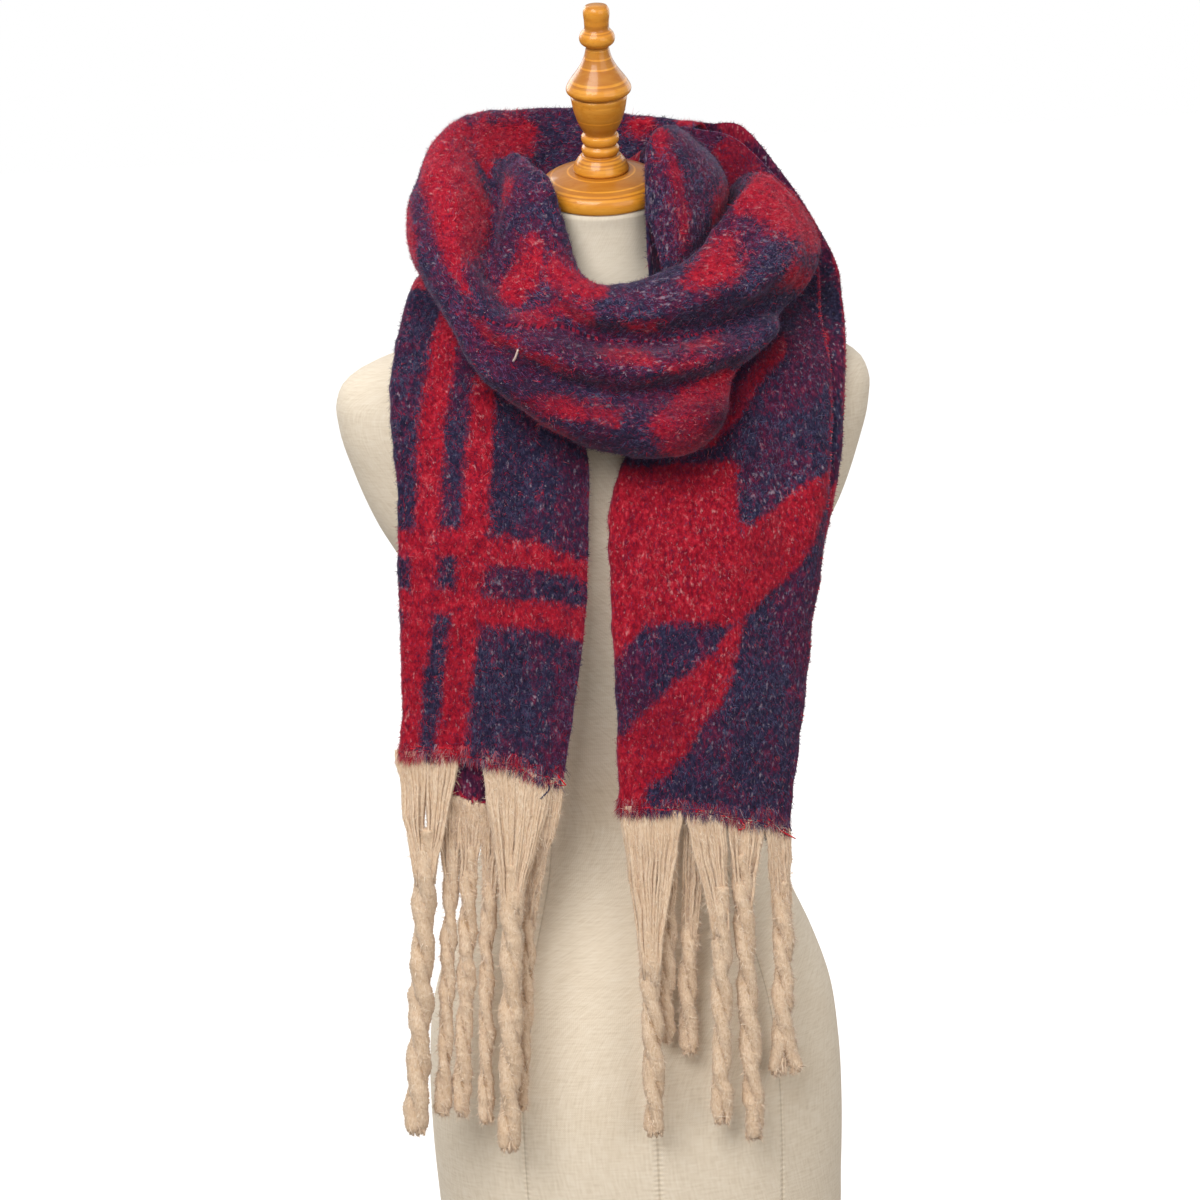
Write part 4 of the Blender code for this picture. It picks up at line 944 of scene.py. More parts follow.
def brushed_cloth(name, upright, rag, soft, dull, haze):
    """Felted ground of the cloth: broken red and navy, with purple where they mix.
    upright is 1 where the warp hangs and 0 where it runs round the neck; rag and
    soft are how torn and how wide the pattern's edges are, dull how much the red
    is broken by the ground, haze how much light its fine fuzz catches."""
    n = Nodes(name, 0.95, Specular_IOR_Level=0.06, Sheen_Weight=haze, Sheen_Roughness=0.42, Sheen_Tint=(0.62, 0.50, 0.70, 1.0))
    place = n.node("ShaderNodeTexCoord").outputs["Object"]
    flat = n.attribute("flat", vector=True)

    def warp(size, draw=0.7, shift=0.0):
        by = 1000 / size
        long, short = by * draw, by
        return n.scaled(place, (short, short, long) if upright else (long, long, short), (shift, shift * 1.7, shift * 0.6))

    fleck = n.noise(warp(2.7, 0.6), 2.5, 0.5)
    fleck_b = n.noise(warp(3.2, 0.6, 31.0), 2.5, 0.55)
    edge = n.noise(warp(13.0, 0.6, 12.0), 3.0, 0.6)
    fine = n.noise(warp(1.3, 0.7, 7.0), 2.0, 0.5)
    drift = n.noise(warp(34.0, 0.45, 3.0), 2.0, 0.5)
    patch = n.noise(warp(15.0, 0.5, 19.0), 3.0, 0.6)
    red = n.attribute("red")
    mix = n.attribute("mix")
    pale = n.attribute("pale")
    ragged = n.math("MULTIPLY_ADD", n.math("SUBTRACT", edge, 0.5), 16.0 * rag, red)
    ragged = n.math("MULTIPLY_ADD", n.math("SUBTRACT", fleck_b, 0.5), 13.0 * rag, ragged)
    in_red = n.step(ragged, -soft, soft)
    reds = n.stops(n.math("ADD", fleck, n.math("MULTIPLY", n.math("SUBTRACT", patch, 0.5), 0.34)), *RED_STOPS)
    navies = n.stops(n.math("ADD", fleck, n.math("MULTIPLY", n.math("SUBTRACT", drift, 0.5), 0.20)), *NAVY_STOPS)
    purples = n.stops(fleck_b, *PURPLE_STOPS)
    how_purple = n.math("ADD", n.step(n.math("ADD", drift, n.math("MULTIPLY", patch, 0.8)), 0.78, 1.10, 0.0, 0.75), mix, clamp=True)
    by_fleck = n.step(n.math("ADD", fleck_b, n.math("MULTIPLY", how_purple, 0.50)), 0.60, 0.86)
    ground = n.blend(by_fleck, navies, purples)
    # stray red in the navy, stray navy in the red
    red_specks = n.math("MULTIPLY", n.step(n.math("ADD", fleck_b, n.math("MULTIPLY", how_purple, 0.10)), 0.61, 0.72), 0.42)
    ground = n.blend(red_specks, ground, (0.20, 0.010, 0.032))
    dark_specks = n.step(n.noise(warp(3.4, 0.45, 53.0), 2.5, 0.6), 0.56, 0.70)
    reds = n.blend(n.math("MULTIPLY", dark_specks, 0.50), reds, (0.085, 0.010, 0.040))
    dulled = n.math("MULTIPLY", n.step(n.math("ADD", patch, n.math("MULTIPLY", mix, 0.35)), 0.60 - 0.22 * dull, 0.86 - 0.22 * dull), 0.35 + 0.45 * dull)
    reds = n.blend(dulled, reds, purples)
    cloth = n.blend(in_red, ground, reds)
    # pale slubs that the weave shows between the two colours
    slub = n.noise(warp(2.7, 0.55, 77.0), 2.0, 0.5)
    slub = n.math("ADD", slub, n.math("MULTIPLY", pale, 0.070))
    slub = n.math("ADD", slub, n.math("MULTIPLY", n.math("SUBTRACT", drift, 0.5), 0.12))
    tint = n.blend(in_red, (0.30, 0.24, 0.30), (0.56, 0.22, 0.23))
    cloth = n.blend(n.math("MULTIPLY", n.step(slub, 0.60, 0.80), 0.85), cloth, tint)
    # at the hem the ground opens over the pale yarns of the fringe
    hem = n.attribute("hem")
    torn = n.math("MULTIPLY_ADD", n.math("SUBTRACT", n.noise(warp(2.2, 0.28, 9.0), 2.0, 0.6), 0.5), 17.0, hem)
    cloth = n.blend(n.step(torn, 4.8, 1.6, 0.0, 0.80), cloth, (0.60, 0.40, 0.28))
    bright = n.step(n.math("ABSOLUTE", n.math("SUBTRACT", torn, 5.6)), 2.4, 0.8, 0.0, 0.6)
    cloth = n.blend(n.math("MULTIPLY", bright, n.step(n.noise(warp(6.0, 1.0, 4.0), 1.0), 0.40, 0.55)), cloth, (0.50, 0.016, 0.035))
    # thread line of the selvage along the first crease
    seam = n.math("ABSOLUTE", n.attribute("seam"))
    dash = n.step(n.noise(n.scaled(flat, (0, 330, 0), (9, 4, 0)), 1.0), 0.47, 0.56)
    line = n.blend(dash, (0.006, 0.005, 0.018), (0.33, 0.010, 0.030))
    cloth = n.blend(n.step(seam, 1.7, 0.5, 0.0, 0.75), cloth, line)
    shade = n.step(fine, 0.30, 0.72, 0.84, 1.12)
    cloth = n.blend(1.0, cloth, n.node("ShaderNodeCombineColor", {"Red": shade, "Green": shade, "Blue": shade}).outputs[0], "MULTIPLY")
    # painted shade: the colour goes towards near black where the cloth's shade attribute is set
    cloth = n.blend(n.math("MULTIPLY", n.attribute("painted_shade"), 0.85, clamp=True), cloth, (0.020, 0.004, 0.014))
    height = n.math("ADD", n.math("MULTIPLY", fleck_b, 0.6), n.math("MULTIPLY", fine, 0.4))
    return n.finish(cloth, n.bump(height, 0.45, 0.0010))


NAP = (  # fibre colours, dark to pale: name, colour, share in the red, share in the navy
    ("nap_navy", (0.021, 0.018, 0.048), 0.025, 0.56),
    ("nap_wine", (0.12, 0.007, 0.030), 0.17, 0.14),
    ("nap_violet", (0.085, 0.032, 0.088), 0.015, 0.13),
    ("nap_slate", (0.068, 0.070, 0.135), 0.00, 0.16),
    ("nap_red", (0.34, 0.008, 0.023), 0.54, 0.035),
    ("nap_scarlet", (0.46, 0.018, 0.037), 0.20, 0.008),
    ("nap_rose", (0.50, 0.11, 0.13), 0.05, 0.007),
    ("nap_pale", (0.43, 0.33, 0.39), 0.0, 0.0),
)


def plain_fibre(name, colour, roughness=0.95, sheen=(0.72, (0.62, 0.54, 0.80))):
    n = Nodes(name, roughness, Specular_IOR_Level=0.05, Sheen_Weight=sheen[0], Sheen_Roughness=0.45, Sheen_Tint=(*sheen[1], 1.0))
    n.shader.inputs["Base Color"].default_value = (*colour, 1.0)
    return n.material


def yarn():
    """Undyed brushed yarn of the fringe, with painted shade darkening the grooves of the twist."""
    n = Nodes("scarf_fringe_yarn", 0.93, Specular_IOR_Level=0.12, Sheen_Weight=0.25, Sheen_Roughness=0.5)
    place = n.node("ShaderNodeTexCoord").outputs["Object"]
    deep = n.attribute("deep")
    fleck = n.noise(n.scaled(place, (700, 700, 330)), 2.5, 0.6)
    drift = n.noise(n.scaled(place, (90, 90, 45), (3, 1, 2)), 2.0)
    strand = n.noise(n.scaled(place, (1300, 1300, 260), (9, 4, 1)), 1.5)
    colour = n.stops(
        n.math("ADD", n.math("MULTIPLY", fleck, 0.6), n.math("MULTIPLY", strand, 0.4)),
        (0.32, (0.56, 0.39, 0.245)), (0.48, (0.70, 0.525, 0.37)), (0.64, (0.80, 0.645, 0.49)), (0.78, (0.87, 0.75, 0.61)),
    )
    colour = n.blend(n.step(drift, 0.35, 0.7, 0.0, 0.25), colour, (0.60, 0.40, 0.24))
    # painted shade: darker where the deep attribute is high, in the grooves of the twist and on yarns lying behind
    colour = n.blend(n.math("MULTIPLY", n.step(n.math("ADD", deep, n.math("MULTIPLY", n.math("SUBTRACT", fleck, 0.5), 0.9)), 0.30, 0.85), 0.72), colour, (0.34, 0.19, 0.09))
    return n.finish(colour, n.bump(n.math("ADD", fleck, strand), 0.6, 0.0007))


def linen():
    """Plain-woven linen drawn over the form, with slubs, seams and a little ageing."""
    n = Nodes("form_linen_cover", 0.88, Specular_IOR_Level=0.2, Sheen_Weight=0.10, Sheen_Roughness=0.6)
    flat = n.attribute("flat", vector=True)
    place = n.node("ShaderNodeTexCoord").outputs["Object"]
    across = n.noise(n.scaled(flat, (70, 560, 0)), 3.0, 0.65)
    along = n.noise(n.scaled(flat, (560, 70, 0), (5, 2, 0)), 3.0, 0.65)
    stain = n.noise(n.scaled(place, (9, 9, 9), (2, 6, 1)), 4.0, 0.6)
    wear = n.noise(n.scaled(place, (30, 30, 30)), 3.0, 0.6)
    split = n.node("ShaderNodeSeparateXYZ", {"Vector": flat})
    thread = lambda value: n.math("SINE", n.math("MULTIPLY", value, 2 * math.pi / 0.0016))
    weave = n.math("MULTIPLY", thread(split.outputs[0]), thread(split.outputs[1]))
    weave = n.math("MULTIPLY_ADD", weave, 0.5, 0.5)
    colour = n.stops(
        n.math("ADD", n.math("MULTIPLY", across, 0.5), n.math("MULTIPLY", along, 0.5)),
        (0.34, (0.71, 0.605, 0.465)), (0.50, (0.82, 0.72, 0.575)), (0.66, (0.89, 0.805, 0.675)),
    )
    colour = n.blend(n.math("MULTIPLY", weave, 0.26), colour, (0.52, 0.43, 0.32))
    colour = n.blend(n.step(stain, 0.52, 0.72, 0.0, 0.22), colour, (0.60, 0.46, 0.30))
    up = n.node("ShaderNodeSeparateXYZ", {"Vector": place}).outputs[2]
    colour = n.blend(n.step(up, 0.76, 0.80, 0.0, 0.45), colour, (0.64, 0.59, 0.50))  # greyer neck
    seam = n.math("ABSOLUTE", n.attribute("seam"))
    stitch = n.math("SINE", n.math("MULTIPLY", split.outputs[1], 2 * math.pi / 0.0042))
    below = n.step(up, 0.765, 0.745)
    colour = n.blend(n.math("MULTIPLY", n.step(seam, 0.9, 0.2, 0.0, 0.42), below), colour, (0.42, 0.34, 0.24))
    pucker = n.math("MULTIPLY", n.step(seam, 4.5, 0.6, 0.0, 1.0), below)
    bump = n.bump(n.math("ADD", n.math("ADD", across, along), n.math("MULTIPLY", weave, 0.7)), 0.17, 0.0005)
    bump = n.bump(n.math("MULTIPLY", n.math("MULTIPLY", stitch, pucker), 0.5), 0.5, 0.0006, bump)
    roughness = n.step(wear, 0.3, 0.7, 0.80, 0.95)
    return n.finish(colour, bump, Roughness=roughness)


def wood():
    """Turned and varnished pale wood, its grain running across the stacked turning."""
    n = Nodes("form_turned_wood", 0.38, Coat_Weight=0.40, Coat_Roughness=0.10, Specular_IOR_Level=0.30)
    place = n.node("ShaderNodeTexCoord").outputs["Object"]
    long = n.scaled(place, (9, 130, 210), (0.2, 0.4, 0.1))
    grain = n.noise(long, 4.0, 0.6, 0.35)
    pores = n.noise(n.scaled(place, (60, 900, 1400)), 2.0, 0.6)
    drift = n.noise(n.scaled(place, (16, 30, 26), (4, 3, 7)), 2.0)
    colour = n.stops(
        n.math("ADD", n.math("MULTIPLY", grain, 0.8), n.math("MULTIPLY", drift, 0.2)),
        (0.26, (0.58, 0.205, 0.014)), (0.44, (0.69, 0.270, 0.022)), (0.60, (0.77, 0.340, 0.040)), (0.76, (0.82, 0.42, 0.075)),
    )
    colour = n.blend(n.step(pores, 0.60, 0.72, 0.0, 0.30), colour, (0.30, 0.10, 0.016))
    deep = n.attribute("deep")
    colour = n.blend(n.math("MULTIPLY", deep, 0.55), colour, (0.26, 0.070, 0.008))  # stain gathers in the grooves
    return n.finish(colour, n.bump(grain, 0.06, 0.0006), Roughness=n.step(pores, 0.3, 0.8, 0.34, 0.46))


# ---------------------------------------------------------------- raised nap
def nap(name, cloth, count, seed, weight, long=0.0042, lift=1.0, hem_fibres=0, edge_fibres=0, finishes=None):
    """Loose fibres of the brushed surface, each one slim triangle, on the cloth's outer side
    and out of its hem and its open edges."""
    random = np.random.default_rng(seed)
    grid, normal = cloth["grid"], cloth["normal"]
    n, m = grid.shape[:2]
    area = np.linalg.norm(np.cross(grid[1:, :-1] - grid[:-1, :-1], grid[:-1, 1:] - grid[:-1, :-1]), axis=-1)
    odds = (area * weight[:-1, :-1]).ravel()
    cell = random.choice(odds.size, count, p=odds / odds.sum())
    if hem_fibres:
        last = random.choice(m - 1, hem_fibres) + (n - 2 - random.integers(0, 3, hem_fibres)) * (m - 1)
        cell = np.concatenate([cell, last])
        count += hem_fibres
    if edge_fibres:
        side = random.integers(0, 2, edge_fibres)
        cell = np.concatenate([cell, random.integers(0, n - 1, edge_fibres) * (m - 1) + side * (m - 2)])
        count += edge_fibres
    i, j = cell // (m - 1), cell % (m - 1)
    a, b = random.random(count)[:, None], random.random(count)[:, None]
    if edge_fibres:
        b[-edge_fibres:, 0] = np.where(side > 0, 1.0, 0.0)
    between = lambda g: (
        (g[i, j] * (1 - a) + g[i + 1, j] * a) * (1 - b) + (g[i, j + 1] * (1 - a) + g[i + 1, j + 1] * a) * b
    )
    root, up = between(grid), unit(between(normal))
    side_out = 1.0
    root = root + up * (CLOTH / 2 - 0.0003) * side_out
    warp = unit(grid[i + 1, j] - grid[i, j])
    weft = np.cross(up, warp)
    angle = random.normal(0, 0.75, count)
    angle += math.pi * (random.random(count) < 0.22)
    rise = np.abs(random.normal(0.28, 0.17, count)) * lift
    fly = random.random(count) < 0.25
    rise[fly] += random.uniform(0.15, 0.80, fly.sum()) * lift
    length = long * np.exp(random.normal(-0.05, 0.30, count)) * np.where(fly, 0.70, 1.0)
    if hem_fibres:
        at_hem = slice(count - edge_fibres - hem_fibres, count - edge_fibres)
        angle[at_hem] = random.normal(0, 0.40, hem_fibres)
        rise[at_hem] *= 0.5
        length[at_hem] = random.uniform(0.003, 0.0125, hem_fibres)
    if edge_fibres:
        outward = unit(between(grid)[-edge_fibres:] - grid[i[-edge_fibres:], np.where(side > 0, m - 3, 2)])
        facing_out = np.sign((outward * weft[-edge_fibres:]).sum(1))
        angle[-edge_fibres:] = random.normal(0, 0.8, edge_fibres) + math.pi / 2 * facing_out
        rise[-edge_fibres:] = random.normal(-0.1, 0.5, edge_fibres)
        root[-edge_fibres:] -= up[-edge_fibres:] * (CLOTH * random.random(edge_fibres)[:, None] - 0.0003)
        length[-edge_fibres:] *= 0.55
    way = unit(warp * np.cos(angle)[:, None] + weft * np.sin(angle)[:, None] + up * rise[:, None])
    flat = between(cloth["flat"])
    sprinkle = waves(flat, 0.0045, seed + 1, 12) * 1.8 + waves(flat, 0.012, seed + 2, 10) * 1.6 + random.normal(0, 2.4, count)
    field = lambda key: (cloth[key][i, j] * (1 - a[:, 0]) + cloth[key][i + 1, j] * a[:, 0]) * (1 - b[:, 0]) + (
        cloth[key][i, j + 1] * (1 - a[:, 0]) + cloth[key][i + 1, j + 1] * a[:, 0]
    ) * b[:, 0]
    in_red = field("red") + sprinkle > 0
    shares = np.where(in_red[:, None], [c[2] for c in NAP], [c[3] for c in NAP]).astype(float)
    mix, pale = np.clip(field("mix"), 0, 1), np.clip(field("pale"), 0, 1)
    shares[:, 0] *= 1 - 0.30 * mix
    shares[:, 1] *= 1 + 1.8 * mix
    shares[:, 2] *= 1 + 3.0 * mix
    shares[:, 4] *= 1 + np.where(in_red, -0.45, 2.0) * mix
    shares[:, 5] *= 1 - 0.75 * mix
    shares[:, 6] *= 1 + 1.0 * pale
    if "painted_highlight" in cloth:  # painted highlight: brighter red and pink fibres, fewer dark ones, at the end of the roll
        painted_highlight = field("painted_highlight")
        shares[:, 5] *= 1 + 2.6 * painted_highlight
        shares[:, :2] *= (1 - 0.8 * painted_highlight)[:, None]
        shares[:, 6] *= 1 + 1.0 * painted_highlight
    if "slate_and_sheen" in cloth:  # slate wool with painted sheen: more slate and paler fibres
        shares[:, 3] *= 1 + 3.2 * field("slate_and_sheen")
        pale = pale + 0.5 * field("slate_and_sheen")
    if hem_fibres:  # the ground opens over the pale yarns at the hem
        open_at = ramp(-field("hem"), -13.0, -2.0)
        shares[:, 6] += 0.70 * open_at * np.where(in_red, 1.0, 0.18)
        shares[:, 7] += 0.12 * open_at
        shares[:, 3] += 0.30 * open_at * np.where(in_red, 0.0, 1.0)
    shares /= shares.sum(1, keepdims=True)
    # neighbours mostly share a colour, so that the surface is clouded and not peppered
    cloud = 0.85 * waves(root, 0.0062, seed + 3, 16) + random.normal(0, 0.62, count)
    rank = np.argsort(np.argsort(cloud)) / count
    slot = (rank[:, None] > np.cumsum(shares, 1)).sum(1).clip(0, len(NAP) - 1)
    # painted shade: darker fibres, and fewer pale ones, where the cloth's shade attribute is set
    if "painted_shade" in cloth:
        dark = random.random(count) < field("painted_shade") * 0.9
        slot = np.where(dark, np.where(slot > 3, 1, 0), slot)
        pale = pale * (1 - field("painted_shade"))
    if hem_fibres:  # weft ends and opened warp at the hem are red and pink
        patchy = 0.24 + 0.20 * waves(root[at_hem], 0.022, seed + 6, 8)
        opened = np.where(random.random(hem_fibres) < patchy, random.choice([4, 5, 6, 7], hem_fibres, p=[0.30, 0.30, 0.28, 0.12]), slot[at_hem])
        slot[at_hem] = opened
    slub = waves(root, 0.0064, seed + 4, 18) > 1.85 - 0.60 * pale  # small tufts of pale wool
    slot[slub] = 7
    length[slub] *= 0.55
    way[slub] = unit(way[slub] - up[slub] * (way[slub] * up[slub]).sum(1, keepdims=True) * 0.7)
    wide = (random.uniform(0.00016, 0.00029, count) * np.where(slub, 1.35, 1.0) * np.where(rise > 0.6, 0.62, 1.0))[:, None] * unit(np.cross(way, up))
    tip = root + way * length[:, None]
    points = np.stack([root - wide, root + wide, tip], 1).reshape(-1, 3)
    made = mesh_object(name, points, np.arange(3 * count).reshape(-1, 3), finishes or NAP_FINISHES, (), False, slot)
    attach(made, "root")
    return made


# -------------------------------------------------------------------- fringe
def build_fringe(number, row, hems):
    """One tassel: fine yarns drawn together under the hem, then two felted plies twisted."""
    random = np.random.default_rng(500 + number)
    t = {k: v / 1000 for k, v in zip(TASSEL_COLUMNS, row)}
    top, pinch, foot, y = t["z_top"], t["z_pinch"], t["z_foot"], t["y"]
    wide = t["wide"]
    phase = random.uniform(0, 2 * math.pi)
    sway = random.uniform(-0.0012, 0.0012, 2)
    knot = np.array([t["x_pinch"], y, pinch])
    end = np.array([t["x_foot"], y + sway[1], foot])
    reach = pinch - foot

    def axis(down):  # the cord's middle, down metres under the pinch
        s = (down / reach)[..., None]
        curve = np.stack([sway[0] * np.sin(s[..., 0] * 5.1 + phase), 0.0010 * np.sin(s[..., 0] * 4 + 2 * phase), 0 * down], -1)
        return knot * (1 - s) + end * s + curve * np.clip(s * 4, 0, 1)

    # two plies round each other
    pitch = random.uniform(0.074, 0.090)
    side, start, tail = 14, -0.016, 0.004
    down = np.arange(start, reach - tail, 0.0026)
    points, faces, deep = [], [], []
    angle = np.arange(side) / side * 2 * math.pi
    flare = ramp(down, reach - 0.030, reach - 0.004)
    half = wide / 2 * (1 - 0.10 * flare) * (1 + 0.05 * np.sin(down * 70 + phase))
    spread = np.maximum(t["foot_wide"] - wide, 0) * 0.5
    turn = phase + (down - 0.35 * flare * 0.02) / pitch * 2 * math.pi
    if t["foot_wide"] > 1.3 * wide:  # the two plies part side by side at the foot
        reach_turn = phase + (reach - 0.030) / pitch * 2 * math.pi
        turn = np.where(down < reach - 0.030, turn, reach_turn)
        turn += np.round(reach_turn / math.pi) * math.pi - reach_turn
    tight = ramp(down, start, 0.022)
    depth = 0.78
    for ply in (0, 1):
        a = turn + ply * math.pi
        apart = half * 0.32 * (0.55 + 0.45 * tight) + spread * flare
        middle = axis(down) + np.stack([np.cos(a) * apart, np.sin(a) * apart * depth, 0 * down], -1)
        radius = half * 0.69 * (0.80 + 0.20 * tight) * (1 - 0.25 * ramp(down, reach - 0.010, reach - tail))
        ahead = unit(np.gradient(middle, axis=0))
        aside = unit(np.cross(ahead, [0.0, 1.0, 0.0]))
        third = np.cross(aside, ahead)
        own = angle[None, :] + (down / 0.030 * 2 * math.pi)[:, None]  # each ply is itself twisted
        ring = middle[:, None] + (aside[:, None] * np.cos(own)[..., None] + third[:, None] * np.sin(own)[..., None] * 0.92) * radius[:, None, None]
        out = unit(ring - middle[:, None])
        rough = 0.00055 * waves(ring, 0.0170, 71 + number) + 0.00022 * waves(ring, 0.0060, 72 + number)
        strands = 0.00014 * np.cos(angle * 5 + number)[None, :]
        ring = ring + out * (rough + strands)[..., None]
        first = len(points) and sum(len(p) for p in points)
        points.append(ring.reshape(-1, 3))
        hub = axis(down)[:, None]
        # painted shade for the yarn's colour: deep grows towards the cord's middle, in the grooves between the plies
        closeness = np.linalg.norm((ring - hub)[..., :2] / [1, depth], axis=-1) / half[:, None]
        deep.append((1 - ramp(closeness, 0.42, 0.86)).ravel() * 1.0)
        r, s = np.meshgrid(np.arange(len(down) - 1), np.arange(side), indexing="ij")
        k = (s + 1) % side
        quad = np.stack([r * side + s, (r + 1) * side + s, (r + 1) * side + k, r * side + k], -1).reshape(-1, 4) + first
        faces += [quad[:, [0, 1, 2]], quad[:, [0, 2, 3]]]
        for end_row, flip in ((0, True), (len(down) - 1, False)):  # rounded ends
            tip = middle[end_row] + ahead[end_row] * (radius[end_row] * 0.5) * (-1 if flip else 1)
            points.append(tip[None])
            deep.append(np.zeros(1))
            tip_at = first + len(down) * side + (0 if flip else 1)
            s = np.arange(side)
            k = (s + 1) % side
            fan = np.stack([first + end_row * side + s, first + end_row * side + k, np.full(side, tip_at)], -1)
            faces.append(fan if flip else fan[:, ::-1])
    points, faces, deep = [np.concatenate(points)], [np.concatenate(faces)], [np.concatenate(deep)]

    # yarns from the hem to the pinch, two rows deep
    spacing = 0.00185
    count = max(8, int(round((t["x_b"] - t["x_a"]) / spacing)))
    lines = []
    for layer in (0, 1):
        across = (np.arange(count) + 0.5 + 0.5 * layer + random.normal(0, 0.16, count)) / (count + 0.5)
        across = np.clip(across, 0.0, 1.0)
        x = t["x_a"] + (t["x_b"] - t["x_a"]) * across
        z = top - t["fall"] * (across - 0.5) + 0.009
        yy = y + 0.0004 + layer * 0.0010 + random.normal(0, 0.00025, count)
        head = np.stack([x, yy, z], -1)
        for k in range(count):  # each yarn leaves the cloth at its hem
            near = [hem[np.argmin(np.abs(hem[:, 0] - x[k]))] for hem in hems]
            near = min(near, key=lambda spot: abs(spot[1] - y) + 4 * abs(spot[0] - x[k]) + 0.5 * abs(spot[2] - z[k]))
            if abs(near[0] - x[k]) < 0.012 and abs(near[1] - y) < 0.02:
                at = np.clip(x[k], near[0] - 0.0006, near[0] + 0.0006) if abs(near[0] - x[k]) > 0.003 else x[k]
                head[k] = at, near[1] + 0.0002 * (layer - 0.5), near[2] + 0.0035
        gather = (across - 0.5) * 2
        cross = np.stack([gather * wide * 0.34, (random.random(count) - 0.5) * wide * 0.5, 0 * gather], -1)
        foot_at = axis(0.016 + random.random(count) * 0.012) + cross
        s = np.linspace(0, 1, 11)[None, :, None]
        bend = s * s * (3 - 2 * s) * 0.55 + s * 0.45
        line = head[:, None] * (1 - bend) + foot_at[:, None] * bend
        line[..., 2] = (head[:, None, 2] * (1 - s[..., 0]) + foot_at[:, None, 2] * s[..., 0])
        if number == 1:  # light shows through between its two halves
            line[..., 0] += np.sign(gather)[:, None] * 0.0012 * np.sin(np.clip(s[..., 0] - 0.30, 0, 1) / 0.7 * math.pi) ** 1.4
        sag = np.sin(s[..., 0] * math.pi)
        wobble = 0.00045 * waves(line * [1, 1, 0.35], 0.009, 90 + number)
        line[..., 0] += wobble + sag * random.normal(0, 0.0003, count)[:, None]
        line[..., 1] -= sag * 0.0012 * (1 - layer) - 0.00035 * waves(line, 0.012, 95 + number)
        lines.append(line)
    lines = np.concatenate(lines)
    thick = np.repeat([0.00130, 0.00182], len(lines) // 2)[:, None] * (1 + 0.10 * waves(lines, 0.004, 88 + number))
    thick = thick * (1 - 0.25 * np.linspace(0, 1, 11))[None]
    tube_points, quads, ends = tubes(lines, thick, 6)
    base = len(points[0])
    points.append(tube_points)
    faces += [quads[:, [0, 1, 2]] + base, quads[:, [0, 2, 3]] + base, ends + base]
    # painted shade for the yarn's colour: more towards the pinch, and more on the row lying behind
    lines_depth = np.repeat(np.repeat(np.linspace(0.02, 0.14, 11)[None], len(lines), 0)[..., None], 6, 2)
    lines_depth[len(lines) // 2 :] += 0.08
    deep.append(np.concatenate([lines_depth.ravel(), np.zeros(2 * len(lines))]))

    # short cut ends of yarn at the foot
    many = 26
    a = random.uniform(0, 2 * math.pi, many)
    out = np.sqrt(random.random(many))
    at = axis(np.full(many, reach - 0.016))
    box = np.stack([np.cos(a) * out * (t["foot_wide"] / 2 - 0.003), np.sin(a) * out * 0.0042, 0 * a], -1)
    drop = random.uniform(0.0125, 0.0155, many)
    s = np.linspace(0, 1, 6)[None, :, None]
    line = (at + box * 0.62)[:, None] * (1 - s) + (at + box * 1.0 - [0, 0, 1] * drop[:, None])[:, None] * s
    line = line + (0.0007 * waves(line, 0.008, 60 + number))[..., None] * [1, 0.4, 0]
    tube_points, quads, ends = tubes(line, 0.00125 * (1 - 0.35 * np.linspace(0, 1, 6) ** 3)[None] * np.ones((many, 1)), 6)
    base = sum(len(p) for p in points)
    points.append(tube_points)
    faces += [quads[:, [0, 1, 2]] + base, quads[:, [0, 2, 3]] + base, ends + base]
    # a little painted shade on the cut ends
    deep.append(np.full(len(tube_points), 0.12))

    points, faces, deep = np.concatenate(points), np.concatenate(faces), np.concatenate(deep)
    low = foot - 0.0005
    points[:, 2] = np.maximum(points[:, 2], low)
    made = mesh_object("fringe_tassel_%02d" % number, points, faces, [YARN], [("deep", "FLOAT", deep)])
    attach(made, "root")
    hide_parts("scarf_tassel_%02d" % number)
    return made


def fringe_nap(name, pieces, each, seed):
    """Fuzz of the tassels, on the outside of their yarns."""
    random = np.random.default_rng(seed)
    roots, ways, ups, lengths = [], [], [], []
    for piece in pieces:
        mesh = piece.data
        mesh.calc_loop_triangles()
        corner = np.zeros(len(mesh.loop_triangles) * 3, np.int32)
        mesh.loop_triangles.foreach_get("vertices", corner)
        co = np.zeros(len(mesh.vertices) * 3, np.float32)
        mesh.vertices.foreach_get("co", co)
        a, b, c = co.reshape(-1, 3)[corner.reshape(-1, 3)].transpose(1, 0, 2).astype(float)
        cross = np.cross(b - a, c - a)
        area = np.linalg.norm(cross, axis=1)
        pick = random.choice(len(area), each, p=area / area.sum())
        u, v = random.random(each), random.random(each)
        over = u + v > 1
        u[over], v[over] = 1 - u[over], 1 - v[over]
        up = unit(cross[pick])
        root = a[pick] + (b - a)[pick] * u[:, None] + (c - a)[pick] * v[:, None] - up * 0.0002
        along = unit(np.array([0, 0, -1.0]) - up * (-up[:, 2:3]))
        aside = np.cross(up, along)
        turn = random.normal(0, 0.9, each)
        rise = np.abs(random.normal(0.25, 0.22, each))
        way = unit(along * np.cos(turn)[:, None] + aside * np.sin(turn)[:, None] + up * rise[:, None])
        roots.append(root), ways.append(way), ups.append(up)
        lengths.append(0.0042 * np.exp(random.normal(0, 0.35, each)))
    root, way, up, length = map(np.concatenate, (roots, ways, ups, lengths))
    wide = random.uniform(0.00016, 0.00027, len(root))[:, None] * unit(np.cross(way, up))
    points = np.stack([root - wide, root + wide, root + way * length[:, None]], 1).reshape(-1, 3)
    slot = random.choice(3, len(root), p=[0.55, 0.30, 0.15])
    made = mesh_object(name, points, np.arange(len(points)).reshape(-1, 3), FRINGE_FINISHES, (), False, slot)
    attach(made, "root")
    return made


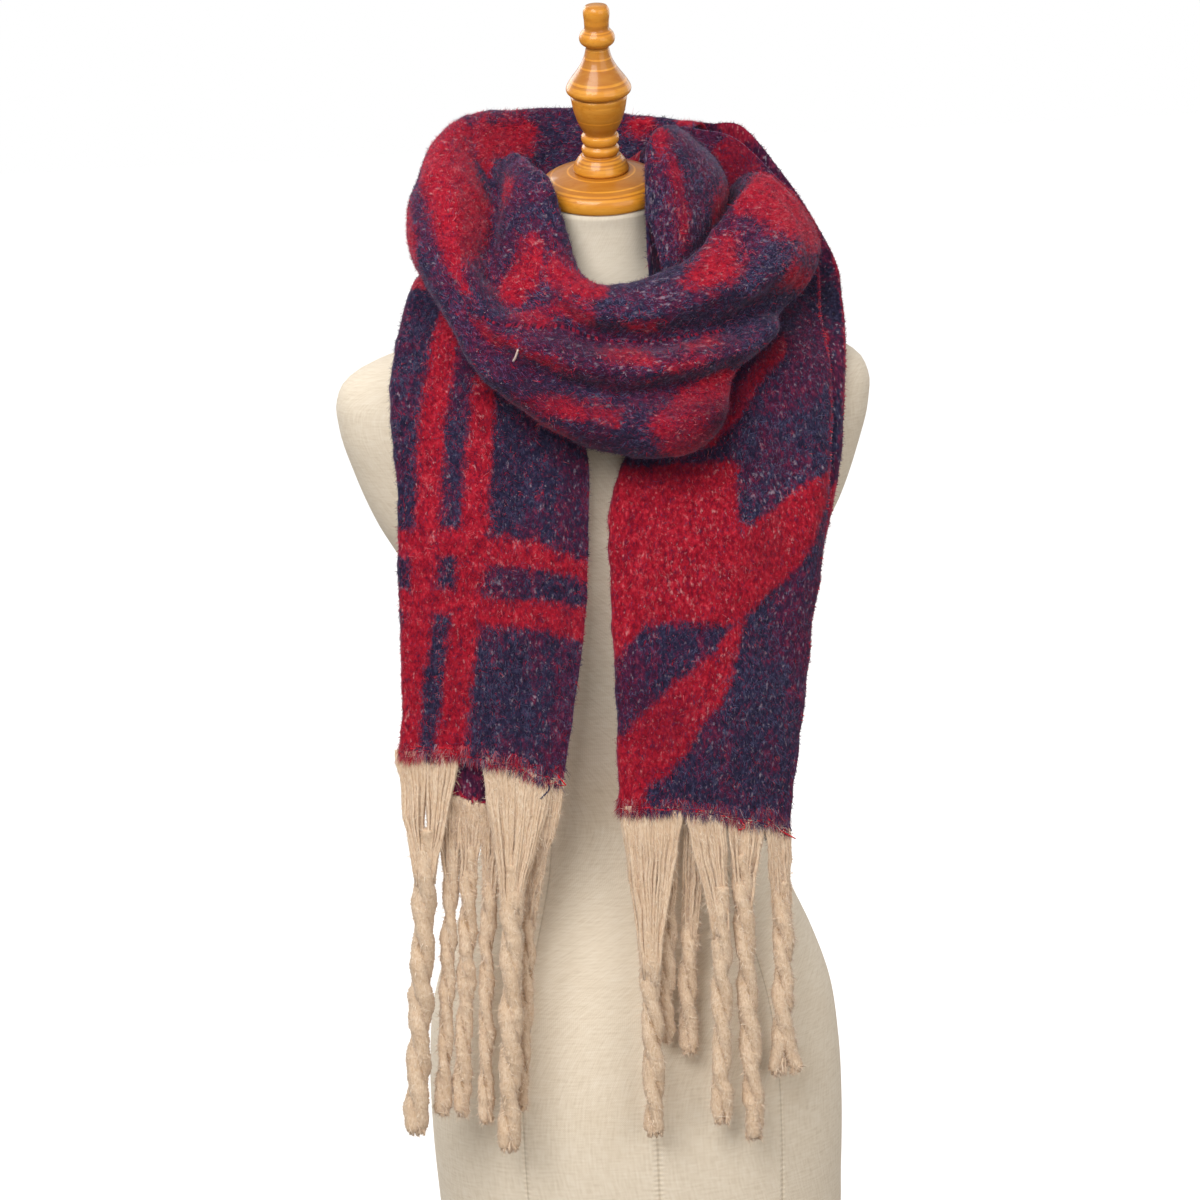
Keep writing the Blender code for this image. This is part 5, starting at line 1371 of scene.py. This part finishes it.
def hem_ends(name, cloth, column_first, column_last, many, seed):
    """Loose ends of weft at a hem: short red and navy threads lying across the yarns."""
    random = np.random.default_rng(seed)
    grid, normal, x = cloth["grid"], cloth["normal"], cloth["column"]
    columns = np.where((x[-1] >= column_first) & (x[-1] <= column_last))[0]
    place = random.uniform(0, len(columns) - 1.001, many)
    j = columns[0] + place.astype(int)
    share = (place % 1)[:, None]
    at = grid[-1, j] * (1 - share) + grid[-1, j + 1] * share
    up = normal[-1, j]
    along = unit(grid[-1, j + 1] - grid[-1, j])
    down = unit(grid[-1, j] - grid[-2, j])
    long = random.uniform(0.003, 0.011, many)
    slant = random.normal(0.10, 0.22, many)
    way = unit(along * np.sign(random.random(many) - 0.5)[:, None] + down * slant[:, None])
    start = at + up * (CLOTH / 2 * random.uniform(0.2, 1.0, many)[:, None]) + down * random.uniform(-0.0035, 0.0016, many)[:, None]
    s = np.linspace(0, 1, 7)[None, :, None]
    line = start[:, None] + way[:, None] * (s - 0.5) * long[:, None, None]
    line = line + down[:, None] * (0.0008 * np.sin(s * 7 + random.uniform(0, 6, many)[:, None, None]))
    line = line + up[:, None] * 0.0005
    slot = random.choice(2, many, p=[0.66, 0.34])
    made = tube_object(name, line, 0.00042 * (1 - 0.4 * np.linspace(0, 1, 7) ** 4)[None] * np.ones((many, 1)), 5, THREAD_FINISHES, (), slot)
    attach(made, "root")
    return made


def selvage_ends(name, cloth, columns, first, last, many, seed):
    """Short turns of red weft that stand out of an open edge."""
    random = np.random.default_rng(seed)
    grid, normal, above = cloth["grid"], cloth["normal"], cloth["above"]
    lines, slot = [], []
    for column, inward in columns:
        rows = np.where((above[:, column] > first) & (above[:, column] < last))[0]
        r = rows[random.integers(0, len(rows) - 1, many)]
        share = random.random(many)[:, None]
        at = grid[r, column] * (1 - share) + grid[r + 1, column] * share
        out = unit(grid[r, column] - grid[r, column + inward])
        down = unit(grid[r + 1, column] - grid[r, column])
        up = normal[r, column] * random.uniform(-0.6, 1.0, many)[:, None]
        long = random.uniform(0.0014, 0.0034, many)[:, None]
        s = np.linspace(-0.75, 0.50, 5)[None, :, None]
        slant = random.normal(0, 0.30, many)[:, None]
        way = unit(out + down * slant)
        line = (at + up * CLOTH / 2)[:, None] + way[:, None] * s * long[:, None]
        lines.append(line - normal[r, column][:, None] * 0.0009 * np.clip(s, 0, 1) ** 2)
        slot.append(random.choice(4, many, p=[0.40, 0.18, 0.0, 0.42]))
    lines = np.concatenate(lines)[:, ::1]
    thick = 0.00048 * (1 - 0.4 * np.linspace(0, 1, 5) ** 3)[None] * np.ones((len(lines), 1))
    made = tube_object(name, lines, thick, 3, THREAD_FINISHES, (), np.concatenate(slot))
    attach(made, "root")
    return made


def hem_rows(name, cloth, first, last, heights, seed):
    """The last picks of weft, which show between the yarns where the nap stops."""
    random = np.random.default_rng(seed)
    grid, normal, above, x = cloth["grid"], cloth["normal"], cloth["above"], cloth["column"][-1]
    columns = np.where((x > first) & (x < last))[0]
    lines, slot = [], []
    for height in heights:
        row = []
        for j in columns:
            r = np.interp(height, above[::-1, j], np.arange(len(above))[::-1])
            k, share = int(min(r, len(above) - 2)), r - int(min(r, len(above) - 2))
            row.append(grid[k, j] * (1 - share) + grid[k + 1, j] * share + normal[k, j] * (CLOTH / 2 + 0.0011))
        row = np.array(row)
        run = np.concatenate([[0], np.cumsum(np.linalg.norm(np.diff(row, axis=0), axis=1))])
        at = random.uniform(0, 0.006)
        while at < run[-1] - 0.006:
            long = random.uniform(0.0018, 0.0050)
            lines.append(through(run, row, np.linspace(at, at + long, 5)) + [0, 0, random.normal(0, 0.0003)])
            red = cloth["red"][-1, columns[np.searchsorted(run, at).clip(0, len(columns) - 1)]] > 0
            slot.append(random.choice(4, p=[0.66, 0.06, 0.0, 0.28] if red else [0.30, 0.34, 0.0, 0.36]))
            at += long + random.exponential(0.0030 + 0.0011 * height)
    lines = np.array(lines)
    thick = 0.00048 * np.ones((len(lines), 5))
    made = tube_object(name, lines, thick, 4, THREAD_FINISHES, (), np.array(slot))
    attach(made, "root")
    return made


def loose_threads(name, chains, slots, thick):
    """Single threads through given points, in millimetres."""
    places = max(12, max(len(c) for c in chains))
    lines = [through(np.arange(len(c)), np.array(c, float) / 1000, np.linspace(0, len(c) - 1, places)) for c in chains]
    made = tube_object(name, np.array(lines), thick, 6, THREAD_FINISHES, (), slots)
    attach(made, "root")
    return made


# ------------------------------------------------------------------ the form
def form_ring(level, angle):
    z, half, front, back, square = level
    c, s = np.cos(angle), np.sin(angle)
    x = half * np.sign(c) * np.abs(c) ** (2 / square)
    y = np.where(s > 0, back, front) * np.sign(s) * np.abs(s) ** (2 / square)
    near = np.exp(-(((np.abs(x) - BUST["x"]) / BUST["spread_x"]) ** 2))
    level_with = math.exp(-(((z - BUST["z"]) / BUST["spread_z"]) ** 2))
    y = y - BUST["rise"] * near * level_with * np.clip(-s * 2.5, 0, 1)
    return np.stack([x, y, np.full(len(angle), z)], -1)


def lean(points):
    """Tips points about the middle of the neck's top, forward and then aside."""
    x, y, z = np.moveaxis(np.asarray(points, float) - NECK_MIDDLE, -1, 0)
    c, s = math.cos(LEAN_FORWARD), math.sin(LEAN_FORWARD)
    y, z = y * c - z * s, y * s + z * c
    c, s = math.cos(LEAN_ASIDE), math.sin(LEAN_ASIDE)
    x, z = x * c - z * s, x * s + z * c
    return np.stack([x, y, z], -1) + NECK_MIDDLE


def ringed(name, rings, finish, values):
    """A closed solid through rings of points, flat at its first ring and closed at its last."""
    n, m = rings.shape[:2]
    middle = np.stack([rings[0].mean(0), rings[-1].mean(0)])
    points = np.concatenate([rings.reshape(-1, 3), middle])
    i, j = np.meshgrid(np.arange(n - 1), np.arange(m), indexing="ij")
    k = (j + 1) % m
    quad = np.stack([i * m + j, i * m + k, (i + 1) * m + k, (i + 1) * m + j], -1).reshape(-1, 4)
    j = np.arange(m)
    k = (j + 1) % m
    low = np.stack([k, j, np.full(m, n * m)], -1)
    high = np.stack([(n - 1) * m + j, (n - 1) * m + k, np.full(m, n * m + 1)], -1)
    faces = np.concatenate([quad[:, [0, 1, 2]], quad[:, [0, 2, 3]], low, high])
    values = [(a, b, np.concatenate([c.reshape(n * m, -1), np.zeros((2, c.reshape(n * m, -1).shape[1]))])) for a, b, c in values]
    made = mesh_object(name, points, faces, [finish], values)
    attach(made, "root")
    return made


def build_torso():
    table = np.array(FORM)
    levels = np.concatenate([[0.0, 0.0015, 0.005, 0.012], np.linspace(0.018, 0.842, 140)])
    rows = through(table[:, 0], table[:, 1:], levels)
    seams = np.radians([-126.2, -90, -53.8, 0, 53.8, 90, 126.2, 180])
    fine = np.radians([-1.3, -0.65, -0.22, 0.22, 0.65, 1.3])
    angle = np.concatenate([np.arange(120) / 120 * 2 * math.pi, *(s + fine for s in seams), seams]) % (2 * math.pi)
    angle = np.unique(np.round(angle, 4))
    away = np.abs((angle[:, None] - seams[None] + math.pi) % (2 * math.pi) - math.pi).min(1)
    rings, flats, far = [], [], []
    for z, row in zip(levels, rows):
        ring = form_ring((z, *row), angle)
        if z < 0.005:  # the turned-under edge of the base
            ring[:, :2] *= 1 - 0.0022 * (1 - z / 0.005)
        arc = np.concatenate([[0], np.cumsum(np.linalg.norm(np.diff(ring, axis=0), axis=1))])
        girth = row[0] + (row[1] + row[2]) / 2
        mm = away * girth / 2 * 1000
        ring_out = unit(np.stack([ring[:, 0], ring[:, 1], 0 * angle], -1))
        sewn = float(np.clip((0.765 - z) / 0.02, 0, 1))
        seam = sewn * -0.00055 * np.exp(-((mm / 0.9) ** 2)) + sewn * 0.00022 * np.exp(-(((mm - 2.2) / 1.2) ** 2))
        ring = ring + ring_out * seam[:, None]
        bend = np.clip((z - 0.785) / 0.08, 0, 1) ** 1.5
        ring[:, :2] += bend * NECK_MIDDLE[:2]
        rings.append(ring), far.append(mm)
        flats.append(np.stack([arc, np.full(len(angle), z), 0 * angle], -1))
    top = np.stack([0.0475 * np.cos(angle), 0.0475 * np.sin(angle), 0 * angle], -1)
    last = lean(top + NECK_MIDDLE)
    for share in (0.33, 0.66, 1.0):
        rings.append(rings[len(levels) - 1] * (1 - share) + last * share)
        flats.append(flats[len(levels) - 1] + [0, 0.025 * share, 0])
        far.append(far[-1])
    made = ringed("form_torso_linen", np.array(rings), LINEN, [("flat", "FLOAT_VECTOR", np.array(flats)), ("seam", "FLOAT", np.array(far))])
    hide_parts("form_torso")


def build_turned(name, node, profile, above):
    """A turned solid on the leaning axis, finely stepped so that its beads are round."""
    profile = np.array(profile)
    run = np.concatenate([[0], np.cumsum(np.linalg.norm(np.diff(profile, axis=0), axis=1))])
    where = np.unique(np.concatenate([run, np.arange(0, run[-1], 0.85)]))
    where = where[np.concatenate([[True], np.diff(where) > 0.12])]
    z, r = through(run, profile, where).T
    smooth = np.array([r[max(0, k - 9) : k + 10].max() for k in range(len(r))])
    groove = np.clip((smooth - r) / 3.0, 0, 1) * (np.gradient(np.gradient(r)) > -0.02)
    sides = 84
    angle = np.arange(sides) / sides * 2 * math.pi
    rings = np.array([np.stack([a * np.cos(angle), a * np.sin(angle), np.full(sides, h)], -1) for h, a in zip(z, r)]) / 1000
    rings = lean(rings + NECK_MIDDLE + [0, 0, above])
    made = ringed(name, rings, WOOD, [("deep", "FLOAT", np.repeat(groove[:, None], sides, 1))])
    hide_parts(node)


# ---------------------------------------------------------------- all pieces
YARN, LINEN, WOOD = yarn(), linen(), wood()
WOOL = brushed_cloth("scarf_brushed_wool", 1, 0.8, 3.2, 0.0, 0.48)
WOOL_ROUND = brushed_cloth("scarf_brushed_wool_wound", 0, 1.25, 5.0, 0.40, 0.34)
WOOL_INNER = brushed_cloth("scarf_brushed_wool_inner", 1, 1.35, 5.0, 0.50, 0.45)
NAP_ROUND = [  # round the neck the nap is brushed up: its colours are paler, as painted sheen for the light it catches
    plain_fibre(name + "_round", tuple(c * (1.34, 1.30, 1.60, 1.70, 1.34, 1.30, 1.2, 1.25)[k] for c in colour), sheen=(0.42, (0.68, 0.46, 0.66)))
    for k, (name, colour, _, _) in enumerate(NAP)
]
NAP_FINISHES = [plain_fibre(name, colour) for name, colour, _, _ in NAP]
NAP_RIGHT_SHADE_SHEEN = [  # the right tail's nap: reds darker, as painted shade of the right side; the other colours paler, as painted sheen
    plain_fibre(name + "_right_shade_sheen", tuple(c * (0.82 if k > 3 else 1.32) for c in colour), sheen=(0.46, (0.62, 0.52, 0.74)))
    for k, (name, colour, _, _) in enumerate(NAP)
]
FRINGE_FINISHES = [
    plain_fibre("fringe_fibre", (0.76, 0.60, 0.45)), plain_fibre("fringe_fibre_pale", (0.86, 0.74, 0.60)),
    plain_fibre("fringe_fibre_tan", (0.58, 0.41, 0.27)),
]
THREAD_FINISHES = [
    plain_fibre("thread_red", (0.62, 0.012, 0.030), 0.8, (0.2, (1, 1, 1))), plain_fibre("thread_navy", (0.014, 0.015, 0.060), 0.8, (0.2, (1, 1, 1))),
    plain_fibre("thread_cream", (0.72, 0.56, 0.48), 0.9), plain_fibre("thread_wine", (0.22, 0.008, 0.034), 0.9, (0.3, (0.7, 0.5, 0.7))),
]

build_torso()
build_turned("form_cap_turned", "form_neck_disc", CAP, 0.0003)
build_turned("form_finial_turned", "form_finial", FINIAL, 0.0006 + CAP[-1][0] / 1000)

wound, inner, left, right = build_wound(), build_inner(), build_left(), build_right()
cloth_wound = shell("cloth_wound", wound, WOOL_ROUND)
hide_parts("scarf_cowl", "scarf_left_roll", "scarf_back_band")
cloth_inner = shell("cloth_inner_turn", inner, WOOL_INNER)
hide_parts("scarf_inner_band")
cloth_left = shell("cloth_left_tail", left, WOOL)
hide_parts("scarf_left_tail_front", "scarf_left_tail_back")
cloth_right = shell("cloth_right_tail", right, WOOL)
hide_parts("scarf_right_front", "scarf_right_back")

# the nap is thickest where the cloth shows, and thin where it lies against something
shown = 0.25 + 0.75 * ramp(wound["knot"], 1.0, 1.9) * ramp(-wound["knot"], -8.7, -8.0)
shown *= 0.15 + 0.85 * ramp(np.abs(wound["seam"]), 1.0, 3.2)
nap_wound_a = nap("nap_wound_a", wound, 92000, 11, shown, 0.0042, 1.15, finishes=NAP_ROUND)
nap_wound_b = nap("nap_wound_b", wound, 84000, 12, shown, 0.0042, 1.15, edge_fibres=6000, finishes=NAP_ROUND)
nap_inner = nap("nap_inner_turn", inner, 24000, 13, 0.20 + 0.80 * (inner["turn"] > -95), 0.0042, 1.15, edge_fibres=4000, finishes=NAP_ROUND)
shown = np.where(left["column"] < -0.1, 0.40, 1.0) * np.where(left["above"] > 360, 0.35, 1.0)
nap_left = nap("nap_left_tail", left, 78000, 14, shown, 0.0042, 1.0, hem_fibres=9000, edge_fibres=3000)
shown = np.where(right["column"] < -0.1, 0.40, 1.0)
nap_right = nap("nap_right_tail", right, 82000, 15, shown, 0.0042, 1.0, hem_fibres=9000, edge_fibres=4000, finishes=NAP_RIGHT_SHADE_SHEEN)

hems = [cloth["grid"][-1, cloth["column"][-1] > -0.1] for cloth in (left, right)]
hems += [cloth["grid"][-1, cloth["column"][-1] < -0.1] for cloth in (left, right)]
tassels = [build_fringe(k, row, hems) for k, row in enumerate(TASSELS, 1)]
nap_fringe = fringe_nap("nap_fringe_a", tassels[:6], 10000, 77)
nap_fringe_b = fringe_nap("nap_fringe_b", tassels[6:], 10000, 78)
hem_left = hem_ends("thread_ends_left_hem", left, 0.0, 1.0, 70, 21)
hem_left_back = hem_ends("thread_ends_left_back_hem", left, -1.06, -0.2, 50, 22)
hem_right = hem_ends("thread_ends_right_hem", right, 0.0, 1.0, 110, 23)
selvage_right = selvage_ends("thread_ends_right_selvage", right, ((-1, -1), (0, 1)), 60, 455, 330, 24)


def on_cloth(cloth, across, along, keys, out=0.0):
    """The point of a cloth nearest to a place given in two of its fields."""
    a, b = cloth[keys[0]], cloth[keys[1]]
    k = np.unravel_index(np.argmin(((a - across) / np.ptp(a)) ** 2 + ((b - along) / np.ptp(b)) ** 2), a.shape)
    return cloth["grid"][k] + cloth["normal"][k] * (CLOTH / 2 + out)


# the thread line of the selvage in the first crease: a navy thread with red stitches over it
middle = []
for i in np.where((wound["turn"][:, 0] > -24) & (wound["turn"][:, 0] < 47))[0]:
    j = np.argmin(np.abs(wound["seam"][i]))
    k = j + (1 if wound["seam"][i, j] < 0 else -1)
    share = wound["seam"][i, j] / (wound["seam"][i, j] - wound["seam"][i, k])
    spot = wound["grid"][i, j] * (1 - share) + wound["grid"][i, k] * share
    middle.append(spot + wound["normal"][i, j] * (CLOTH / 2 + 0.00015))
middle = smoothed(np.array(middle)[:, None], 3)[:, 0] * 1000
run = np.concatenate([[0], np.cumsum(np.linalg.norm(np.diff(middle, axis=0), axis=1))])
dice = np.random.default_rng(31)
chains, slots = [through(run, middle, np.linspace(run[0], run[-1], 60))], [1]
place = 2.0
while place < run[-1] - 4:
    long = dice.uniform(1.6, 3.4)
    chains.append(through(run, middle, np.linspace(place, place + long, 5)) + dice.normal(0, 0.12, 3) + [0, -0.35, 0.2])
    slots.append(0)
    place += long + dice.uniform(1.5, 9.0)
thread_line = loose_threads("thread_line_first_crease", chains, slots, 0.00030)
tail_keys, wound_keys = ("column", "above"), ("turn", "knot")
slub = [on_cloth(wound, 36.0, 5.95, wound_keys), on_cloth(wound, 34.2, 5.65, wound_keys, 0.0009), on_cloth(wound, 32.6, 5.3, wound_keys)]
pale_slub = loose_threads("thread_pale_slub", [np.array(slub) * 1000], [2], 0.00085)
below = lambda cloth, column, above: on_cloth(cloth, column, max(above, 0), tail_keys, 0.0006) * 1000 + [0, 0, min(above, 0)]
behind = left["grid"][-1, left["column"][-1] < -0.1]
back_hem = lambda x: behind[np.argmin(np.abs(behind[:, 0] * 1000 - x))] * 1000
weft_left = hem_rows("thread_weft_left_hem", left, 0.02, 0.99, (1.2, 2.9, 4.6, 6.6), 41)
weft_right = hem_rows("thread_weft_right_hem", right, 0.02, 0.99, (1.0, 2.4), 42)
loose_left = loose_threads("thread_loose_left", [
    [below(left, 0.93, 8), below(left, 0.965, 5), below(left, 1.0, 1) + [3, -1, -1]],
    [below(left, 0.93, -1), below(left, 0.915, -6), below(left, 0.90, -13) + [-3, -1, 0]],
    [back_hem(-112) + [0, -2.6, 0.5], back_hem(-103) + [0, -3.2, 1.8], back_hem(-93) + [0, -2.8, 4.6]],
    [back_hem(-110) + [0, -2.6, 4.0], back_hem(-102) + [0, -3.2, 5.4], back_hem(-94) + [0, -2.8, 7.2]],
    [back_hem(-113) + [0, -2.4, -3.2], back_hem(-105) + [0, -3.2, -1.2], back_hem(-94) + [0, -2.6, 0.4]],
], [0, 1, 0, 0, 1], 0.0006)
loose_right = loose_threads("thread_loose_right", [
    [below(right, 0.86, 5), below(right, 0.94, 2), below(right, 0.99, -2) + [4, -2, -3]],
    [below(right, 0.70, 3), below(right, 0.73, -2) + [0, -1, 0], below(right, 0.71, -9) + [-3, -1, 0]],
    [below(right, 0.10, 4), below(right, 0.22, 2), below(right, 0.32, 3)],
], [0, 0, 0], 0.0005)


# --------------------------------------------------------- stage and camera
def stage_floor():
    n = Nodes("studio_white", 0.9, Specular_IOR_Level=0.0)
    n.shader.inputs["Base Color"].default_value = (0.24, 0.225, 0.21, 1.0)
    n.shader.inputs["Emission Color"].default_value = (1.0, 1.0, 1.0, 1.0)
    n.shader.inputs["Emission Strength"].default_value = 0.0
    seen = n.node("ShaderNodeLightPath").outputs["Is Camera Ray"]  # the stage is lit up for the lens alone
    n.put(n.shader.inputs["Emission Strength"], n.math("MULTIPLY", seen, 0.98))
    corners = np.array([(-30, -30, -0.0005), (30, -30, -0.0005), (30, 30, -0.0005), (-30, 30, -0.0005)], float)
    floor = mesh_object("studio_floor", corners, [(0, 1, 2, 3)], [n.material], (), False)


def softbox(name, place, aim, size, power, colour=(1, 1, 1)):
    lamp = bpy.data.lights.new(name, "AREA")
    lamp.shape, lamp.size, lamp.size_y, lamp.energy, lamp.color = "RECTANGLE", size[0], size[1], power, colour
    made = bpy.data.objects.new(name, lamp)
    bpy.context.scene.collection.objects.link(made)
    back = unit(np.array(place, float) - np.array(aim, float))
    side = unit(np.cross([0, 0, 1.0], back))
    up = np.cross(back, side)
    from mathutils import Matrix

    made.matrix_world = Matrix([[*map(float, (side[k], up[k], back[k])), float(place[k])] for k in range(3)] + [[0, 0, 0, 1]])


def studio():
    world = bpy.data.worlds.new("studio")
    bpy.context.scene.world = world
    world.use_nodes = True
    world.node_tree.nodes["Background"].inputs["Color"].default_value = (1, 1, 1, 1)
    tree = world.node_tree
    seen = tree.nodes.new("ShaderNodeLightPath").outputs["Is Camera Ray"]
    level = tree.nodes.new("ShaderNodeMapRange")
    tree.links.new(seen, level.inputs["Value"])
    level.inputs["To Min"].default_value, level.inputs["To Max"].default_value = 0.50, 1.0
    tree.links.new(level.outputs[0], tree.nodes["Background"].inputs["Strength"])
    softbox("key", (-1.4, -2.3, 2.6), (0, 0, 0.65), (2.0, 2.0), 92, (1.0, 0.985, 0.965))
    softbox("fill", (1.6, -2.8, 1.4), (0, 0, 0.6), (2.2, 2.2), 30, (1.0, 0.95, 0.90))
    softbox("behind", (-1.6, 2.6, 2.4), (0, 0, 0.6), (2.0, 2.0), 48)
    softbox("behind_right", (2.4, 2.0, 1.6), (0, 0, 0.6), (2.0, 2.0), 22)
    bpy.context.scene.view_settings.view_transform = "Standard"


def camera():
    """At the viewing angle of the photograph, a little turned so that the form stands as it does there."""
    distance, azimuth, elevation, roll = 2.5, math.radians(-7.0), math.radians(10.0), math.radians(2.7)
    aim = np.array([-0.0115, 0.0, 0.545])
    back = np.array([math.sin(azimuth) * math.cos(elevation), -math.cos(azimuth) * math.cos(elevation), math.sin(elevation)])
    side = np.array([math.cos(azimuth), math.sin(azimuth), 0.0])
    up = np.cross(side, -back)
    x = math.cos(roll) * side - math.sin(roll) * up
    y = math.sin(roll) * side + math.cos(roll) * up
    at = aim + distance * back
    data = bpy.data.cameras.new("camera")
    data.lens, data.sensor_width = 93.75, 36.0
    made = bpy.data.objects.new("camera", data)
    bpy.context.scene.collection.objects.link(made)
    from mathutils import Matrix

    made.matrix_world = Matrix([[float(x[k]), float(y[k]), float(back[k]), float(at[k])] for k in range(3)] + [[0, 0, 0, 1]])
    bpy.context.scene.camera = made


stage_floor()
studio()
camera()
